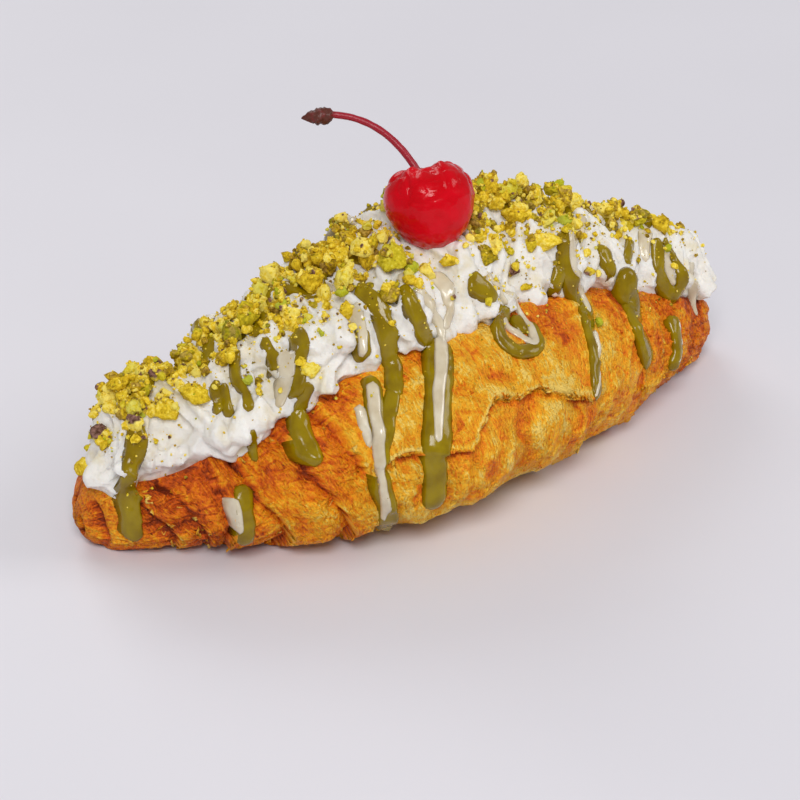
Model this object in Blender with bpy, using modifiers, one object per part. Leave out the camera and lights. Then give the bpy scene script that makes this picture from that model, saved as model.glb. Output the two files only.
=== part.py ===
"""A croissant slit along its top, filled and crowned with piped whipped cream, with sauce run over
it, chopped nuts on the cream and a stemmed cocktail cherry on top.

Metres, +Z up. The pastry lies along X, its bulging front looks towards -Y and it rests at z = 0.
"Around" is an angle about the pastry's long axis: 0 at the front, 90 degrees on top, 180 at the
back and -90 underneath.
"""

import math
import random

import bmesh
import bpy
import numpy as np
from mathutils import Matrix, Vector, noise
from mathutils.bvhtree import BVHTree

MM = 0.001
GAP = 0.35 * MM  # clearance between pieces that touch
SHARPEST = 3.0  # most that a sharp corner moves out for it, in gaps

# Pastry
LENGTH = 178 * MM  # tip to tip
FRONT_HALF_WIDTH = 41 * MM
BACK_HALF_WIDTH = 37 * MM
BODY_HEIGHT = 46 * MM
TIP_HALF_WIDTH = 6.5 * MM
TIP_HEIGHT = 15 * MM
BOW = 11.5 * MM  # how far the middle bows towards the front
WIDEST = -0.14  # where it is fullest, from -1 at the left tip to 1 at the right one
FRONT_TAPER = (1.8, 1.1)  # left and right: 1 tapers straight to the tip, more stays full longer
BACK_TAPER = (1.4, 1.6)
HEIGHT_TAPER = (1.55, 1.8)
END_ROUND = 7 * MM  # length over which each tip closes
END_STATIONS = (0.02 * MM, 0.6 * MM, 2.2 * MM)  # rings by each tip
MIDLINE = 0.45  # height of the widest place, as a share of the section's height
RISE = 0.55  # height above the midline
UNDERSIDE = 0.50  # depth below it, so that a little is pressed flat at z = 0
LUMPS = 0.7 * MM
LUMP_SPACING = 15 * MM

# Each wrap of the dough ends in an edge round the body: (place along X, slant, step up towards the
# middle). A slant moves the edge that far along -X on top and along +X underneath.
LEFT_EDGES = (
    (-83.0, 0.5, 0.7),
    (-76.5, 5.0, 1.0),
    (-71.0, 6.0, 0.9),
    (-65.0, 1.5, 1.6),
    (-57.5, 6.0, 2.4),
    (-46.5, 9.0, 2.1),
    (-37.5, 8.0, 1.6),
)
RIGHT_EDGES = (
    (24.0, -7.0, 2.6),
    (45.5, -2.0, 2.2),
    (55.0, -3.0, 1.5),
    (65.0, -1.5, 1.5),
    (73.0, -1.0, 1.0),
    (80.5, -0.5, 0.7),
)
EDGE_PROUD = 0.75  # share of a step above the plain form at a wrap's edge
EDGE_SUNK = 0.4  # and below it where the next wrap begins
LAST_RUN = 18 * MM  # from the innermost edges to the plain middle
EDGE_WIDTH = 0.55 * MM  # run of a step's face along X
RING_PITCH = 6.5 * MM
# The last flap of dough ends in a seam along the front: (X, height round the body in degrees)
SEAM = ((-38, 16), (-30, 21), (-18, 14), (-14, 22), (-8, 31), (-1, 26), (5, 26), (16, 15), (25, 9))
SEAM_STEP = 1.5 * MM
SEAM_WIDTH = 1.6  # degrees that the step takes, to each side
SEAM_ENDS = 5 * MM  # length over which it fades at each end
FOLDS = ((-34.0, 5.0), (-17.0, 0.5), (16.0, -3.0))  # folds below the seam: (X, slant)
FOLD_DEPTH = 1.3 * MM
FOLD_WIDTH = 1.6 * MM

# Slit: its edges, as (X, degrees round the body)
SLIT_FRONT = ((-80, 50), (-57, 50), (-20, 62), (10, 67), (40, 70), (68, 57), (80, 52))
SLIT_BACK = ((-80, 118), (-57, 117), (-20, 123), (10, 130), (80, 132))
SLIT_ENDS = (-82 * MM, 80 * MM)
SLIT_DEPTH = 11 * MM
SLIT_RUN_OUT = 12 * MM
SLIT_LIP = 9  # degrees over which the relief fades at its edges

# Cream: the mound's stations, (X, front foot, ridge and back foot in Y, height of the ridge). The
# feet rest on the pastry.
MOUND = (
    (-88, -7.0, -2.0, 3.0, 24.0),
    (-80, -13.0, -4.0, 5.0, 33.5),
    (-68, -21.0, -7.5, 6.0, 38.5),
    (-57, -28.0, -8.5, 7.0, 42.0),
    (-45, -30.5, -8.0, 8.0, 46.5),
    (-33, -30.5, -7.0, 9.5, 51.5),
    (-20, -32.0, -6.0, 11.5, 58.5),
    (-5, -31.5, -5.0, 13.0, 62.0),
    (10, -27.5, -4.0, 13.0, 61.5),
    (25, -25.0, -3.0, 12.0, 57.0),
    (40, -20.0, -2.5, 11.0, 51.0),
    (54, -18.0, -2.0, 10.0, 44.5),
    (68, -15.5, -1.0, 8.5, 39.5),
    (80, -11.0, 0.0, 7.0, 32.5),
    (88, -8.0, 0.5, 6.0, 25.0),
)
FOOT_SINK = 0.6  # below 1 the rope presses onto the pastry
PEAK = 1.2  # 1 gives the mound an elliptical section, more a pointed one
# The bag runs to and fro across the slit and turns at these places along X, first at the front
TURNS = (-83, -70, -60, -49, -40, -29.5, -20, -8, 3, 15, 27, 39, 50, 59.5, 68.5, 76, 82)
DROOPS = (1.5, 0.5, 2.5, 1.0, 0.0, 1.5, 1.0, 0.5, 2.0, 1.0, 0.0, 1.5, 1.0, 0.5, 1.0, 0.0, 0.5)
TURN_SPREAD = 0.11  # how far the rope runs along X in its turns before it crosses
ROPE_RADIUS = 3.6 * MM
ROPE_GROWTH = 0.06  # added radius for each unit of the mound's width
ROPE_RIDGES = 7
RIDGE_DEPTH = 0.10
ROPE_STEPS = 12
ROPE_END = 0.6  # reach and size of its rounded ends, in radii
CORE_INSET = 0.45  # depth of the core under the ropes' outside, in radii
CORE_STATIONS = 24
CREAM_GRAIN = 1.0 * MM  # cell size at which the core and the ropes are merged
CREAM_FACES = 1620  # before its toppings

# Cherry, in radii from its centre
CHERRY_RADIUS = 10.1 * MM
CHERRY_CENTRE = Vector((-2.6, -13.0, 66.5)) * MM
CHERRY_LEAN = (math.radians(-30), math.radians(4))  # about X and Y: it tips away from the front
CHERRY_HEIGHT = 1.02
SHOULDER_SWELL = 0.09  # it is fullest by its shoulders
SHOULDER_PLACE = (0.55, 0.4)  # their height, and over how much of it they swell
BASE_TAPER = 0.13
DIMPLE_DEPTH = 0.34
DIMPLE_WIDTH = 0.32
CLEFT_DEPTH = 0.10  # the groove from the dimple down the side
CLEFT_WIDTH = 0.35
CLEFT_HEADING = math.radians(-112)

# Stem
STEM_LENGTH = 23.0 * MM
STEM_RADIUS = 0.78 * MM
STEM_NARROWING = (1.12, 0.15)  # its radius at the cherry, and how much narrower it is at its end
STEM_LIFT = 1.8 * MM  # clear of the dimple's floor
STEM_SHIFT = 1.9 * MM  # from the dimple's middle towards the side that it bends to
STEM_HEADING = Vector((-0.829, 0.559, 0))  # it bends over this way
STEM_UP = Vector((0.271, 0.402, 0.875))  # and stands this way
STEM_RISE = (math.radians(57), math.radians(2))  # its slope at the cherry and at its end
STEM_BEND = 1.3  # above 1 it bends more towards its end
STEM_STEPS = 12
KNOB_SLOPE = math.radians(-6)
KNOB_LENGTH = 7.2 * MM
KNOB_RADIUS = 1.8 * MM
KNOB_PROFILE = ((0.08, 0.85), (0.25, 1.0), (0.5, 0.9), (0.75, 0.6), (1.0, 0.15))

# Nuts lie in drifts along the cream: (X, half length, pieces)
NUT_DRIFTS = ((-71, 8, 7), (-50, 9, 7), (-31, 9, 9), (-15, 5, 4), (13, 5, 5), (30, 9, 9), (53, 8, 3))
NUT_SPREAD = 20  # degrees round the mound, to each side of its ridge
NUT_SIZES = (7.0 * MM, 3.2 * MM)  # the first and the last of each drift
NUT_SINK = 0.30  # share of its size that a piece lies in the cream
NUT_SEED = 11

# Sauce, poured to and fro across the whole: each streak's X on the ridge, at the cream's front foot
# and at its front end, the degrees round the pastry where it ends at the front and at the back, and
# its width
STREAKS = (
    (-78, -82, -82.0, -16, 170, 4.6),
    (-62, -62, -64.5, -20, 176, 5.2),
    (-44, -47, -49.0, 14, 190, 5.4),
    (-26, -26, -36.5, -22, 168, 5.6),
    (-17, -17, -25.0, -12, 196, 6.0),
    (5, 8, 9.0, 34, 164, 6.6),
    (34, 32, 25.0, 5, 188, 5.0),
    (46, 47, 46.5, 8, 170, 5.4),
    (63, 64, 60.5, -10, 182, 4.2),
)
SAUCE_THICKNESS = 1.1 * MM
SAUCE_SECTION = ((-0.5, -0.7), (-0.32, 0.75), (0.32, 0.75), (0.5, -0.7))  # across, up
SAUCE_STEP = 14  # degrees
SLIT_CLEAR = 5  # degrees from the slit to where a streak starts on the pastry


def smooth(x):
    x = np.clip(x, 0, 1)
    return x * x * (3 - 2 * x)


def skin(mesh, rows):
    """Joins rows of vertices, each closed on itself, with faces, and closes both ends."""
    for a, b in zip(rows, rows[1:]):
        for k in range(len(a)):
            following = (k + 1) % len(a)
            mesh.faces.new((a[k], a[following], b[following], b[k]))
    mesh.faces.new(rows[0][::-1])
    mesh.faces.new(rows[-1])


def as_object(name, mesh):
    """Triangulated, so that a grown copy of it bends along the same edges."""
    bmesh.ops.triangulate(mesh, faces=mesh.faces)
    bmesh.ops.recalc_face_normals(mesh, faces=mesh.faces)
    data = bpy.data.meshes.new(name)
    mesh.to_mesh(data)
    mesh.free()
    obj = bpy.data.objects.new(name, data)
    bpy.context.scene.collection.objects.link(obj)
    return obj


def evaluated_mesh(obj):
    graph = bpy.context.evaluated_depsgraph_get()
    return bpy.data.meshes.new_from_object(obj.evaluated_get(graph))


def apply_modifier(obj, kind, **settings):
    modifier = obj.modifiers.new(kind.lower(), kind)
    for name, value in settings.items():
        setattr(modifier, name, value)
    made = evaluated_mesh(obj)
    obj.modifiers.clear()
    obj.data = made


# ---------------------------------------------------------------- pastry form


def fullness(x, taper):
    """1 where the body is widest, falling to 0 at the tips."""
    t = np.clip(x / (LENGTH / 2), -1, 1)
    left = t < WIDEST
    reach = np.where(left, (WIDEST - t) / (1 + WIDEST), (t - WIDEST) / (1 - WIDEST))
    return 1 - np.clip(reach, 0, 1) ** np.where(left, taper[0], taper[1])


def section(x):
    """Centre in Y, half widths to the front and back, and height of the body at x."""
    t = np.clip(x / (LENGTH / 2), -1, 1)
    front = TIP_HALF_WIDTH + (FRONT_HALF_WIDTH - TIP_HALF_WIDTH) * fullness(x, FRONT_TAPER)
    back = TIP_HALF_WIDTH + (BACK_HALF_WIDTH - TIP_HALF_WIDTH) * fullness(x, BACK_TAPER)
    height = TIP_HEIGHT + (BODY_HEIGHT - TIP_HEIGHT) * fullness(x, HEIGHT_TAPER)
    return -BOW * (1 - t * t), front, back, height


def along_table(u, table, column=1):
    """A column of a table whose first column is X in millimetres, read at u."""
    points = np.array(table, float)
    return np.interp(u, points[:, 0] * MM, points[:, column])


def slant_at(u):
    ends = [(-LENGTH / 2 / MM, 0.0), (LENGTH / 2 / MM, 0.0)]
    edges = [edge[:2] for edge in LEFT_EDGES + RIGHT_EDGES]
    return along_table(u, sorted(ends + edges + list(FOLDS))) * MM


def wrap_relief(u):
    """Each wrap stands proud at its edge and sinks towards the next wrap, like a shingle."""
    raised = np.zeros_like(u)
    for edges, side in ((LEFT_EDGES, 1), (RIGHT_EDGES[::-1], -1)):
        for i, (place, _, step) in enumerate(edges):
            innermost = i == len(edges) - 1
            run = LAST_RUN if innermost else side * (edges[i + 1][0] - place) * MM
            along = side * (u - place * MM) / run
            sunk = 0 if innermost else EDGE_SUNK
            proud = step * MM * (EDGE_PROUD - (EDGE_PROUD + sunk) * along.clip(0, 1) ** 1.2)
            raised = np.where((along > 0) & (along < 1), proud, raised)
    return raised


def seam_relief(u, around):
    """The seam of the last flap along the front, and the folds in the dough below it."""
    inside = smooth((u - SEAM[0][0] * MM) / SEAM_ENDS) * smooth((SEAM[-1][0] * MM - u) / SEAM_ENDS)
    above = around - along_table(u, SEAM)
    flap = np.where(above > 0, 0.6 * np.exp(-above / 16), -1.0 * np.exp(above / 14))
    raised = SEAM_STEP * flap
    for place, _ in FOLDS:
        fold = np.exp(-(((u - place * MM) / FOLD_WIDTH) ** 2)) * smooth(-above / 8)
        raised = raised - FOLD_DEPTH * fold
    return raised * inside * (np.abs(around) < 80)


def lumps(x, y, z):
    places = np.stack([x, y, z], -1) / LUMP_SPACING
    return LUMPS * np.array([noise.noise(Vector(place)) for place in places])


def plain_point(u, around, raised=0.0):
    """Where the body's surface lies, for a place u along a wrap and an angle in degrees."""
    angle = np.radians(around)
    x = u - slant_at(u) * np.sin(angle)
    centre, front, back, height = section(x)
    end = np.clip((np.abs(x) - (LENGTH / 2 - END_ROUND)) / END_ROUND, 0, 1)
    close = np.sqrt(np.clip(1 - end**2, 0.0009, 1))
    across, up = np.cos(angle), np.sin(angle)
    reach = np.where(across > 0, front, back) * close + raised * close
    tall = np.where(up > 0, RISE, UNDERSIDE) * height * close + raised * close
    y = centre - reach * across
    z = np.maximum(MIDLINE * height + tall * up, 0)
    return np.stack([x, y, z], -1)


def pastry_point(u, around):
    """The same with its wraps, seam, folds and lumps, which fade underneath and at the slit."""
    slit_front, slit_back = along_table(u, SLIT_FRONT), along_table(u, SLIT_BACK)
    turned = np.where(around < -90, around + 360, around)
    lip = smooth(np.maximum(slit_front - turned, turned - slit_back) / SLIT_LIP)
    under = 0.25 + 0.75 * smooth((np.sin(np.radians(around)) + 0.98) / 0.5)
    plain = plain_point(u, around)
    raised = wrap_relief(u) + seam_relief(u, around) + lumps(*plain.T)
    return plain_point(u, around, raised * lip * under)


def slit_point(u, across):
    """The slit's inside, from its back edge at 0 to its front edge at 1."""
    slit_front, slit_back = along_table(u, SLIT_FRONT), along_table(u, SLIT_BACK)
    point = plain_point(u, slit_back + across * (slit_front - slit_back))
    inward = np.minimum(point[:, 0] - SLIT_ENDS[0], SLIT_ENDS[1] - point[:, 0])
    point[:, 2] -= SLIT_DEPTH * smooth(inward / SLIT_RUN_OUT) * np.sin(np.pi * across) ** 0.5
    return point


def pastry_rings():
    """Places along X for the mesh's rings: two at each edge, three at a fold, a few between."""
    rings = [side * (LENGTH / 2 - inward) for side in (-1, 1) for inward in END_STATIONS]
    for place, _, _ in LEFT_EDGES + RIGHT_EDGES:
        rings += [place * MM - EDGE_WIDTH / 2, place * MM + EDGE_WIDTH / 2]
    for place, _ in FOLDS:
        rings += [place * MM + k * FOLD_WIDTH for k in (-1.2, 0, 1.2)]
    rings.sort()
    between = []
    for low, high in zip(rings, rings[1:]):
        count = round((high - low) / RING_PITCH)
        between += [low + (high - low) * k / count for k in range(1, count)]
    return sorted(rings + between)


def rows_around(u):
    """Angles for the mesh's rows at a ring: down the front with two rows at the seam, and round."""
    seam = along_table(u, SEAM)
    return np.concatenate(
        [
            np.linspace(along_table(u, SLIT_FRONT), seam + SEAM_WIDTH, 5),
            np.linspace(seam - SEAM_WIDTH, -48, 6),
            np.linspace(-64, -116, 3),
            np.linspace(-132, along_table(u, SLIT_BACK) - 360, 9),
        ]
    )


def build_pastry():
    across_slit = np.linspace(0, 1, 7)[1:-1]
    mesh = bmesh.new()
    rows = []
    for u in pastry_rings():
        around = rows_around(u)
        outer = pastry_point(np.full(len(around), u), around)
        inner = slit_point(np.full(len(across_slit), u), across_slit)
        rows.append([mesh.verts.new(point) for point in np.concatenate([outer, inner])])
    skin(mesh, rows)
    return as_object("croissant", mesh)


# ------------------------------------------------------------------ cream form


def pastry_height(x, y):
    """Height of the pastry's upper side over a point of the floor plan."""
    centre, front, back, height = section(x)
    off = (y - centre) / np.where(y < centre, front, back)
    return float(MIDLINE * height + RISE * height * np.sqrt(np.clip(1 - off * off, 0, 1)))


def mound(x):
    """Feet and ridge of the cream at x in Y, and the ridge's height."""
    return [float(along_table(x, MOUND, column)) * MM for column in (1, 2, 3, 4)]


def mound_point(x, around, inset=0.0, droop=0.0):
    """A point on the mound, around in degrees from its front foot, moved in by the inset."""
    front, ridge, back, top = mound(x)
    foot = front + inset if around < 90 else back - inset
    base = pastry_height(x, foot) + FOOT_SINK * inset - droop
    a = math.radians(around)
    y = ridge + (foot - ridge) * abs(math.cos(a))
    return Vector((x, y, base + (top - inset - base) * max(math.sin(a), 0) ** PEAK))


def rope_radius(x):
    front, _, back, _ = mound(x)
    return ROPE_RADIUS + ROPE_GROWTH * (back - front)


def rope_centre(turn, along):
    """Centre of the piped rope on its way from one turn to the next, along 0 to 1."""
    share = along + TURN_SPREAD * math.sin(2 * math.pi * along)
    x = (TURNS[turn] + (TURNS[turn + 1] - TURNS[turn]) * share) * MM
    around = 180 * (along if turn % 2 == 0 else 1 - along)
    droop = (DROOPS[turn] * (1 - along) + DROOPS[turn + 1] * along) * MM
    return mound_point(x, around, rope_radius(x), droop)


def swept_curve(name, centres, radii):
    """A curve through the centres with filled ends, as thick as the radii."""
    curve = bpy.data.curves.new(name, "CURVE")
    curve.dimensions = "3D"
    curve.use_fill_caps = True
    spline = curve.splines.new("POLY")
    spline.points.add(len(centres) - 1)
    for point, centre, radius in zip(spline.points, centres, radii):
        point.co = (*centre, 1)
        point.radius = radius
    obj = bpy.data.objects.new(name, curve)
    bpy.context.scene.collection.objects.link(obj)
    return obj


def build_nozzle():
    """The star that the piping bag's nozzle presses the cream through, of radius 1."""
    curve = bpy.data.curves.new("nozzle", "CURVE")
    spline = curve.splines.new("POLY")
    spline.points.add(2 * ROPE_RIDGES - 1)
    for k, point in enumerate(spline.points):
        reach = 1 + RIDGE_DEPTH * (-1) ** k
        a = math.pi * k / ROPE_RIDGES
        point.co = (reach * math.cos(a), reach * math.sin(a), 0, 1)
    spline.use_cyclic_u = True
    return bpy.data.objects.new("nozzle", curve)


def build_rope(turn, nozzle):
    """One pass of the bag across the mound, with rounded ends at its turns."""
    alongs = 0.5 - 0.5 * np.cos(np.linspace(0, math.pi, ROPE_STEPS))
    centres = [rope_centre(turn, along) for along in alongs]
    radii = [rope_radius(centre.x) for centre in centres]
    before = (centres[0] - centres[1]).normalized() * radii[0] * ROPE_END
    after = (centres[-1] - centres[-2]).normalized() * radii[-1] * ROPE_END
    centres = [centres[0] + before] + centres + [centres[-1] + after]
    radii = [radii[0] * ROPE_END] + radii + [radii[-1] * ROPE_END]
    rope = swept_curve(f"rope_{turn}", centres, radii)
    rope.data.bevel_mode = "OBJECT"
    rope.data.bevel_object = nozzle
    return rope


def build_core():
    """What the ropes lie on: the middle of the mound, down into the slit."""
    mesh = bmesh.new()
    rows = []
    first, last = MOUND[0][0] + 3, MOUND[-1][0] - 3
    for x in np.linspace(first, last, CORE_STATIONS) * MM:
        inset = CORE_INSET * rope_radius(x)
        row = [mound_point(x, around, inset) for around in np.linspace(0, 180, 9)]
        front, back = row[0], row[-1]
        floor = min(front.z, back.z) - SLIT_DEPTH - 4 * MM
        row += [Vector((x, front.y + (back.y - front.y) * share, floor)) for share in (0.8, 0.2)]
        rows.append([mesh.verts.new(point) for point in row])
    skin(mesh, rows)
    return as_object("cream", mesh)


def build_cream():
    """The core and the ropes run together, as soft cream does, with few faces."""
    cream = build_core()
    nozzle = build_nozzle()
    ropes = [build_rope(turn, nozzle) for turn in range(len(TURNS) - 1)]
    joined = bmesh.new()
    joined.from_mesh(cream.data)
    for rope in ropes:
        joined.from_mesh(evaluated_mesh(rope))
        bpy.data.objects.remove(rope)
    bpy.data.objects.remove(nozzle)
    bmesh.ops.remove_doubles(joined, verts=joined.verts, dist=0.01 * MM)
    joined.to_mesh(cream.data)
    joined.free()
    apply_modifier(cream, "REMESH", mode="VOXEL", voxel_size=CREAM_GRAIN)
    apply_modifier(cream, "DECIMATE", ratio=CREAM_FACES / (2 * len(cream.data.polygons)))
    return cream


# ------------------------------------------------------------ toppings and fruit


def surface_tree(obj):
    mesh = bmesh.new()
    mesh.from_mesh(obj.data)
    bmesh.ops.triangulate(mesh, faces=mesh.faces)
    tree = BVHTree.FromBMesh(mesh)
    mesh.free()
    return tree


def on_mound(tree, x, around):
    """Where the cream's surface lies on the line out of the mound's middle at that angle."""
    outside = mound_point(x, around)
    _, ridge, _, top = mound(x)
    outward = (outside - Vector((x, ridge, 0.6 * top))).normalized()
    hit, normal, _, _ = tree.ray_cast(outside + outward * 20 * MM, -outward)
    return (hit, normal) if hit else (outside, outward)


def on_pastry(tree, x, around):
    """Where the pastry's surface lies at x and an angle round the body."""
    centre, front, _, height = section(x)
    middle = Vector((x, float(centre), MIDLINE * float(height)))
    a = math.radians(around)
    outward = Vector((0, -math.cos(a), math.sin(a)))
    hit, normal, _, _ = tree.ray_cast(middle + outward * 2 * float(front), -outward)
    return hit, normal


def build_nut(name, place, normal, size, rng):
    """A chopped piece: a few flat faces, longer one way."""
    mesh = bmesh.new()
    bmesh.ops.create_icosphere(mesh, subdivisions=1, radius=size / 2)
    stretch = Matrix.Diagonal((rng.uniform(0.75, 0.95), rng.uniform(0.85, 1.0), rng.uniform(1.05, 1.3), 1))
    turn = Matrix.Rotation(rng.uniform(0, math.tau), 4, Vector((rng.random(), rng.random(), 1)))
    for vert in mesh.verts:
        vert.co *= rng.uniform(0.86, 1.12)
    lifted = Matrix.Translation(place + normal * size * (0.5 - NUT_SINK))
    bmesh.ops.transform(mesh, matrix=lifted @ turn @ stretch, verts=mesh.verts)
    return as_object(name, mesh)


def build_nuts(tree):
    """Drifts of chopped nuts on the cream, the largest first, clear of each other and the cherry."""
    rng = random.Random(NUT_SEED)
    taken = [(CHERRY_CENTRE, 2 * CHERRY_RADIUS)]
    nuts = []
    for middle, half_length, pieces in NUT_DRIFTS:
        for size in np.linspace(*NUT_SIZES, pieces):
            hit, normal = on_mound(tree, rng.gauss(middle, half_length / 1.5) * MM, rng.gauss(90, NUT_SPREAD))
            if all((hit - other).length > 0.42 * (size + reach) for other, reach in taken):
                taken.append((hit, size))
                nuts.append(build_nut(f"nut_{len(nuts)}", hit, normal, size, rng))
    return nuts


def build_run(name, land, tree, start, end, width):
    """A run of sauce on a surface from one (X, degrees) to another: domed, with narrow ends."""
    steps = max(4, round(abs(end[1] - start[1]) / SAUCE_STEP))
    mesh = bmesh.new()
    rows = []
    for i in range(steps + 1):
        share = i / steps
        x = start[0] + (end[0] - start[0]) * share + 0.8 * math.sin(3.1 * share + start[0])
        around = start[1] + (end[1] - start[1]) * share
        swell = 0.45 if i in (0, steps) else 1
        row = []
        for across, up in SAUCE_SECTION:
            hit, normal = land(tree, (x + across * width * swell) * MM, around)
            row.append(mesh.verts.new(hit + normal * SAUCE_THICKNESS * up * (0.4 + 0.6 * swell)))
        rows.append(row)
    skin(mesh, rows)
    return as_object(name, mesh)


def build_cream_runs(tree):
    """The streaks on the cream, from by the ridge to each foot."""
    runs = []
    for i, (ridge, foot, _, _, _, width) in enumerate(STREAKS):
        runs.append(build_run(f"front_{i}", on_mound, tree, (ridge, 76), (foot, 8), width))
        runs.append(build_run(f"back_{i}", on_mound, tree, (ridge, 108), (ridge + 2, 172), width))
    return runs


def build_pastry_runs(tree):
    """Where the streaks go on down the pastry, from under the cream's edges."""
    runs = []
    for i, (ridge, foot, end, front_end, back_end, width) in enumerate(STREAKS):
        top = (foot, along_table(foot * MM, SLIT_FRONT) - SLIT_CLEAR)
        runs.append(build_run(f"down_front_{i}", on_pastry, tree, top, (end, front_end), width))
        top = (ridge + 2, along_table(ridge * MM, SLIT_BACK) + SLIT_CLEAR)
        runs.append(build_run(f"down_back_{i}", on_pastry, tree, top, (ridge + 3, back_end), width))
    return runs


def build_cherry():
    """A ball with a dimple for the stem and a groove from it down one side, and its placing."""
    mesh = bmesh.new()
    bmesh.ops.create_uvsphere(mesh, u_segments=20, v_segments=12, radius=1)
    for vert in mesh.verts:
        x, y, z = vert.co
        dimple = DIMPLE_DEPTH * math.exp(-((math.hypot(x, y) / DIMPLE_WIDTH) ** 2)) * (z > 0)
        turned = (math.atan2(y, x) - CLEFT_HEADING) / CLEFT_WIDTH
        cleft = CLEFT_DEPTH * math.exp(-(turned**2)) * max(z, 0)
        place, spread = SHOULDER_PLACE
        girth = 1 - cleft - BASE_TAPER * max(-z, 0)
        girth += SHOULDER_SWELL * math.exp(-(((z - place) / spread) ** 2))
        vert.co = Vector((x * girth, y * girth, CHERRY_HEIGHT * z - dimple - cleft))
    lean = Matrix.Rotation(CHERRY_LEAN[0], 4, "X") @ Matrix.Rotation(CHERRY_LEAN[1], 4, "Y")
    placing = Matrix.Translation(CHERRY_CENTRE) @ lean @ Matrix.Scale(CHERRY_RADIUS, 4)
    bmesh.ops.transform(mesh, matrix=placing, verts=mesh.verts)
    return as_object("cherry", mesh), placing


def stem_heading(slope):
    return STEM_HEADING * math.cos(slope) + STEM_UP * math.sin(slope)


def build_stem(placing):
    """A stalk that bends over to its woody end, standing in the cherry's dimple."""
    floor = placing @ Vector((0, 0, CHERRY_HEIGHT - DIMPLE_DEPTH))
    base = floor + Vector((0, 0, STEM_LIFT)) + STEM_HEADING * STEM_SHIFT
    centres, radii = [base], [STEM_RADIUS]
    for i in range(1, STEM_STEPS + 1):
        share = i / STEM_STEPS
        slope = STEM_RISE[0] + (STEM_RISE[1] - STEM_RISE[0]) * share**STEM_BEND
        centres.append(centres[-1] + stem_heading(slope) * STEM_LENGTH / STEM_STEPS)
        radii.append(STEM_RADIUS * (STEM_NARROWING[0] - STEM_NARROWING[1] * share))
    tip = centres[-1]
    for share, swell in KNOB_PROFILE:
        centres.append(tip + stem_heading(KNOB_SLOPE) * KNOB_LENGTH * share)
        radii.append(KNOB_RADIUS * swell)
    stem = swept_curve("cherry_stem", centres, radii)
    stem.data.bevel_depth = 1
    stem.data.bevel_resolution = 2
    return stem


# ------------------------------------------------------------------- assembly


def grown(obj, gap):
    """A copy of a piece, larger by the gap all round, to cut its neighbour clear of it."""
    mesh = bmesh.new()
    mesh.from_mesh(obj.data)
    mesh.normal_update()
    moves = [v.normal * gap * min(v.calc_shell_factor(), SHARPEST) for v in mesh.verts]
    for vert, move in zip(mesh.verts, moves):
        vert.co += move
    return as_object(obj.name + "_clearance", mesh)


def boolean(obj, operation, others):
    """Applies one Boolean on a collection of pieces, then removes them."""
    group = bpy.data.collections.new(obj.name + "_" + operation)
    for other in others:
        group.objects.link(other)
    # MANIFOLD: EXACT leaves open edges on so many pieces
    apply_modifier(
        obj, "BOOLEAN", operation=operation, operand_type="COLLECTION", collection=group, solver="MANIFOLD"
    )
    for other in others:
        bpy.data.objects.remove(other)
    bpy.data.collections.remove(group)
    keep_largest(obj)


def islands_of(mesh):
    """The mesh's loose pieces, as lists of vertices, the largest last."""
    unseen = set(mesh.verts)
    islands = []
    while unseen:
        stack = [unseen.pop()]
        island = []
        while stack:
            vert = stack.pop()
            island.append(vert)
            neighbours = {edge.other_vert(vert) for edge in vert.link_edges} & unseen
            unseen -= neighbours
            stack += neighbours
        islands.append(island)
    return sorted(islands, key=len)


def keep_largest(obj):
    """Drops the loose scraps that a cut leaves, and fills any sealed hollow."""
    mesh = bmesh.new()
    mesh.from_mesh(obj.data)
    for island in islands_of(mesh)[:-1]:
        bmesh.ops.delete(mesh, geom=island, context="VERTS")
    mesh.to_mesh(obj.data)
    mesh.free()


def paint(obj, name, colour, roughness):
    material = bpy.data.materials.new(name)
    material.use_nodes = True
    shader = material.node_tree.nodes["Principled BSDF"]
    shader.inputs["Base Color"].default_value = (*colour, 1)
    shader.inputs["Roughness"].default_value = roughness
    shader.inputs["Metallic"].default_value = 0
    obj.data.materials.clear()
    obj.data.materials.append(material)


def shade(obj):
    obj.data.shade_smooth()
    obj.data.set_sharp_from_angle(angle=math.radians(40))


def stand_on_origin(pieces, widest):
    """Parents all to an empty, so that the box of the widest piece stands centred on the origin."""
    corners = np.array([vert.co for vert in widest.data.vertices])
    low, high = corners.min(axis=0), corners.max(axis=0)
    base = bpy.data.objects.new("base", None)
    base.location = (-(low[0] + high[0]) / 2, -(low[1] + high[1]) / 2, -low[2])
    for piece in pieces:
        piece.parent = base
    return base


def main():
    for obj in list(bpy.data.objects):
        bpy.data.objects.remove(obj)

    pastry = build_pastry()
    cherry, placing = build_cherry()
    stem = build_stem(placing)
    cream = build_cream()

    cream_tree, pastry_tree = surface_tree(cream), surface_tree(pastry)
    boolean(cream, "UNION", build_nuts(cream_tree) + build_cream_runs(cream_tree))
    runs = build_pastry_runs(pastry_tree)
    boolean(cream, "DIFFERENCE", [grown(obj, GAP) for obj in [pastry, cherry] + runs])
    boolean(pastry, "UNION", runs)

    paint(pastry, "baked_dough", (0.62, 0.27, 0.06), 0.45)
    paint(cream, "whipped_cream", (0.90, 0.88, 0.84), 0.55)
    paint(cherry, "candied_cherry", (0.60, 0.01, 0.02), 0.15)
    paint(stem, "cherry_stalk", (0.45, 0.02, 0.03), 0.4)
    for obj in (pastry, cream, cherry):
        shade(obj)
    pieces = (pastry, cream, cherry, stem)
    parts = bpy.data.collections.new("filled_croissant")
    bpy.context.scene.collection.children.link(parts)
    parts.objects.link(stand_on_origin(pieces, pastry))
    for obj in pieces:
        bpy.context.scene.collection.objects.unlink(obj)
        parts.objects.link(obj)


main()
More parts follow.
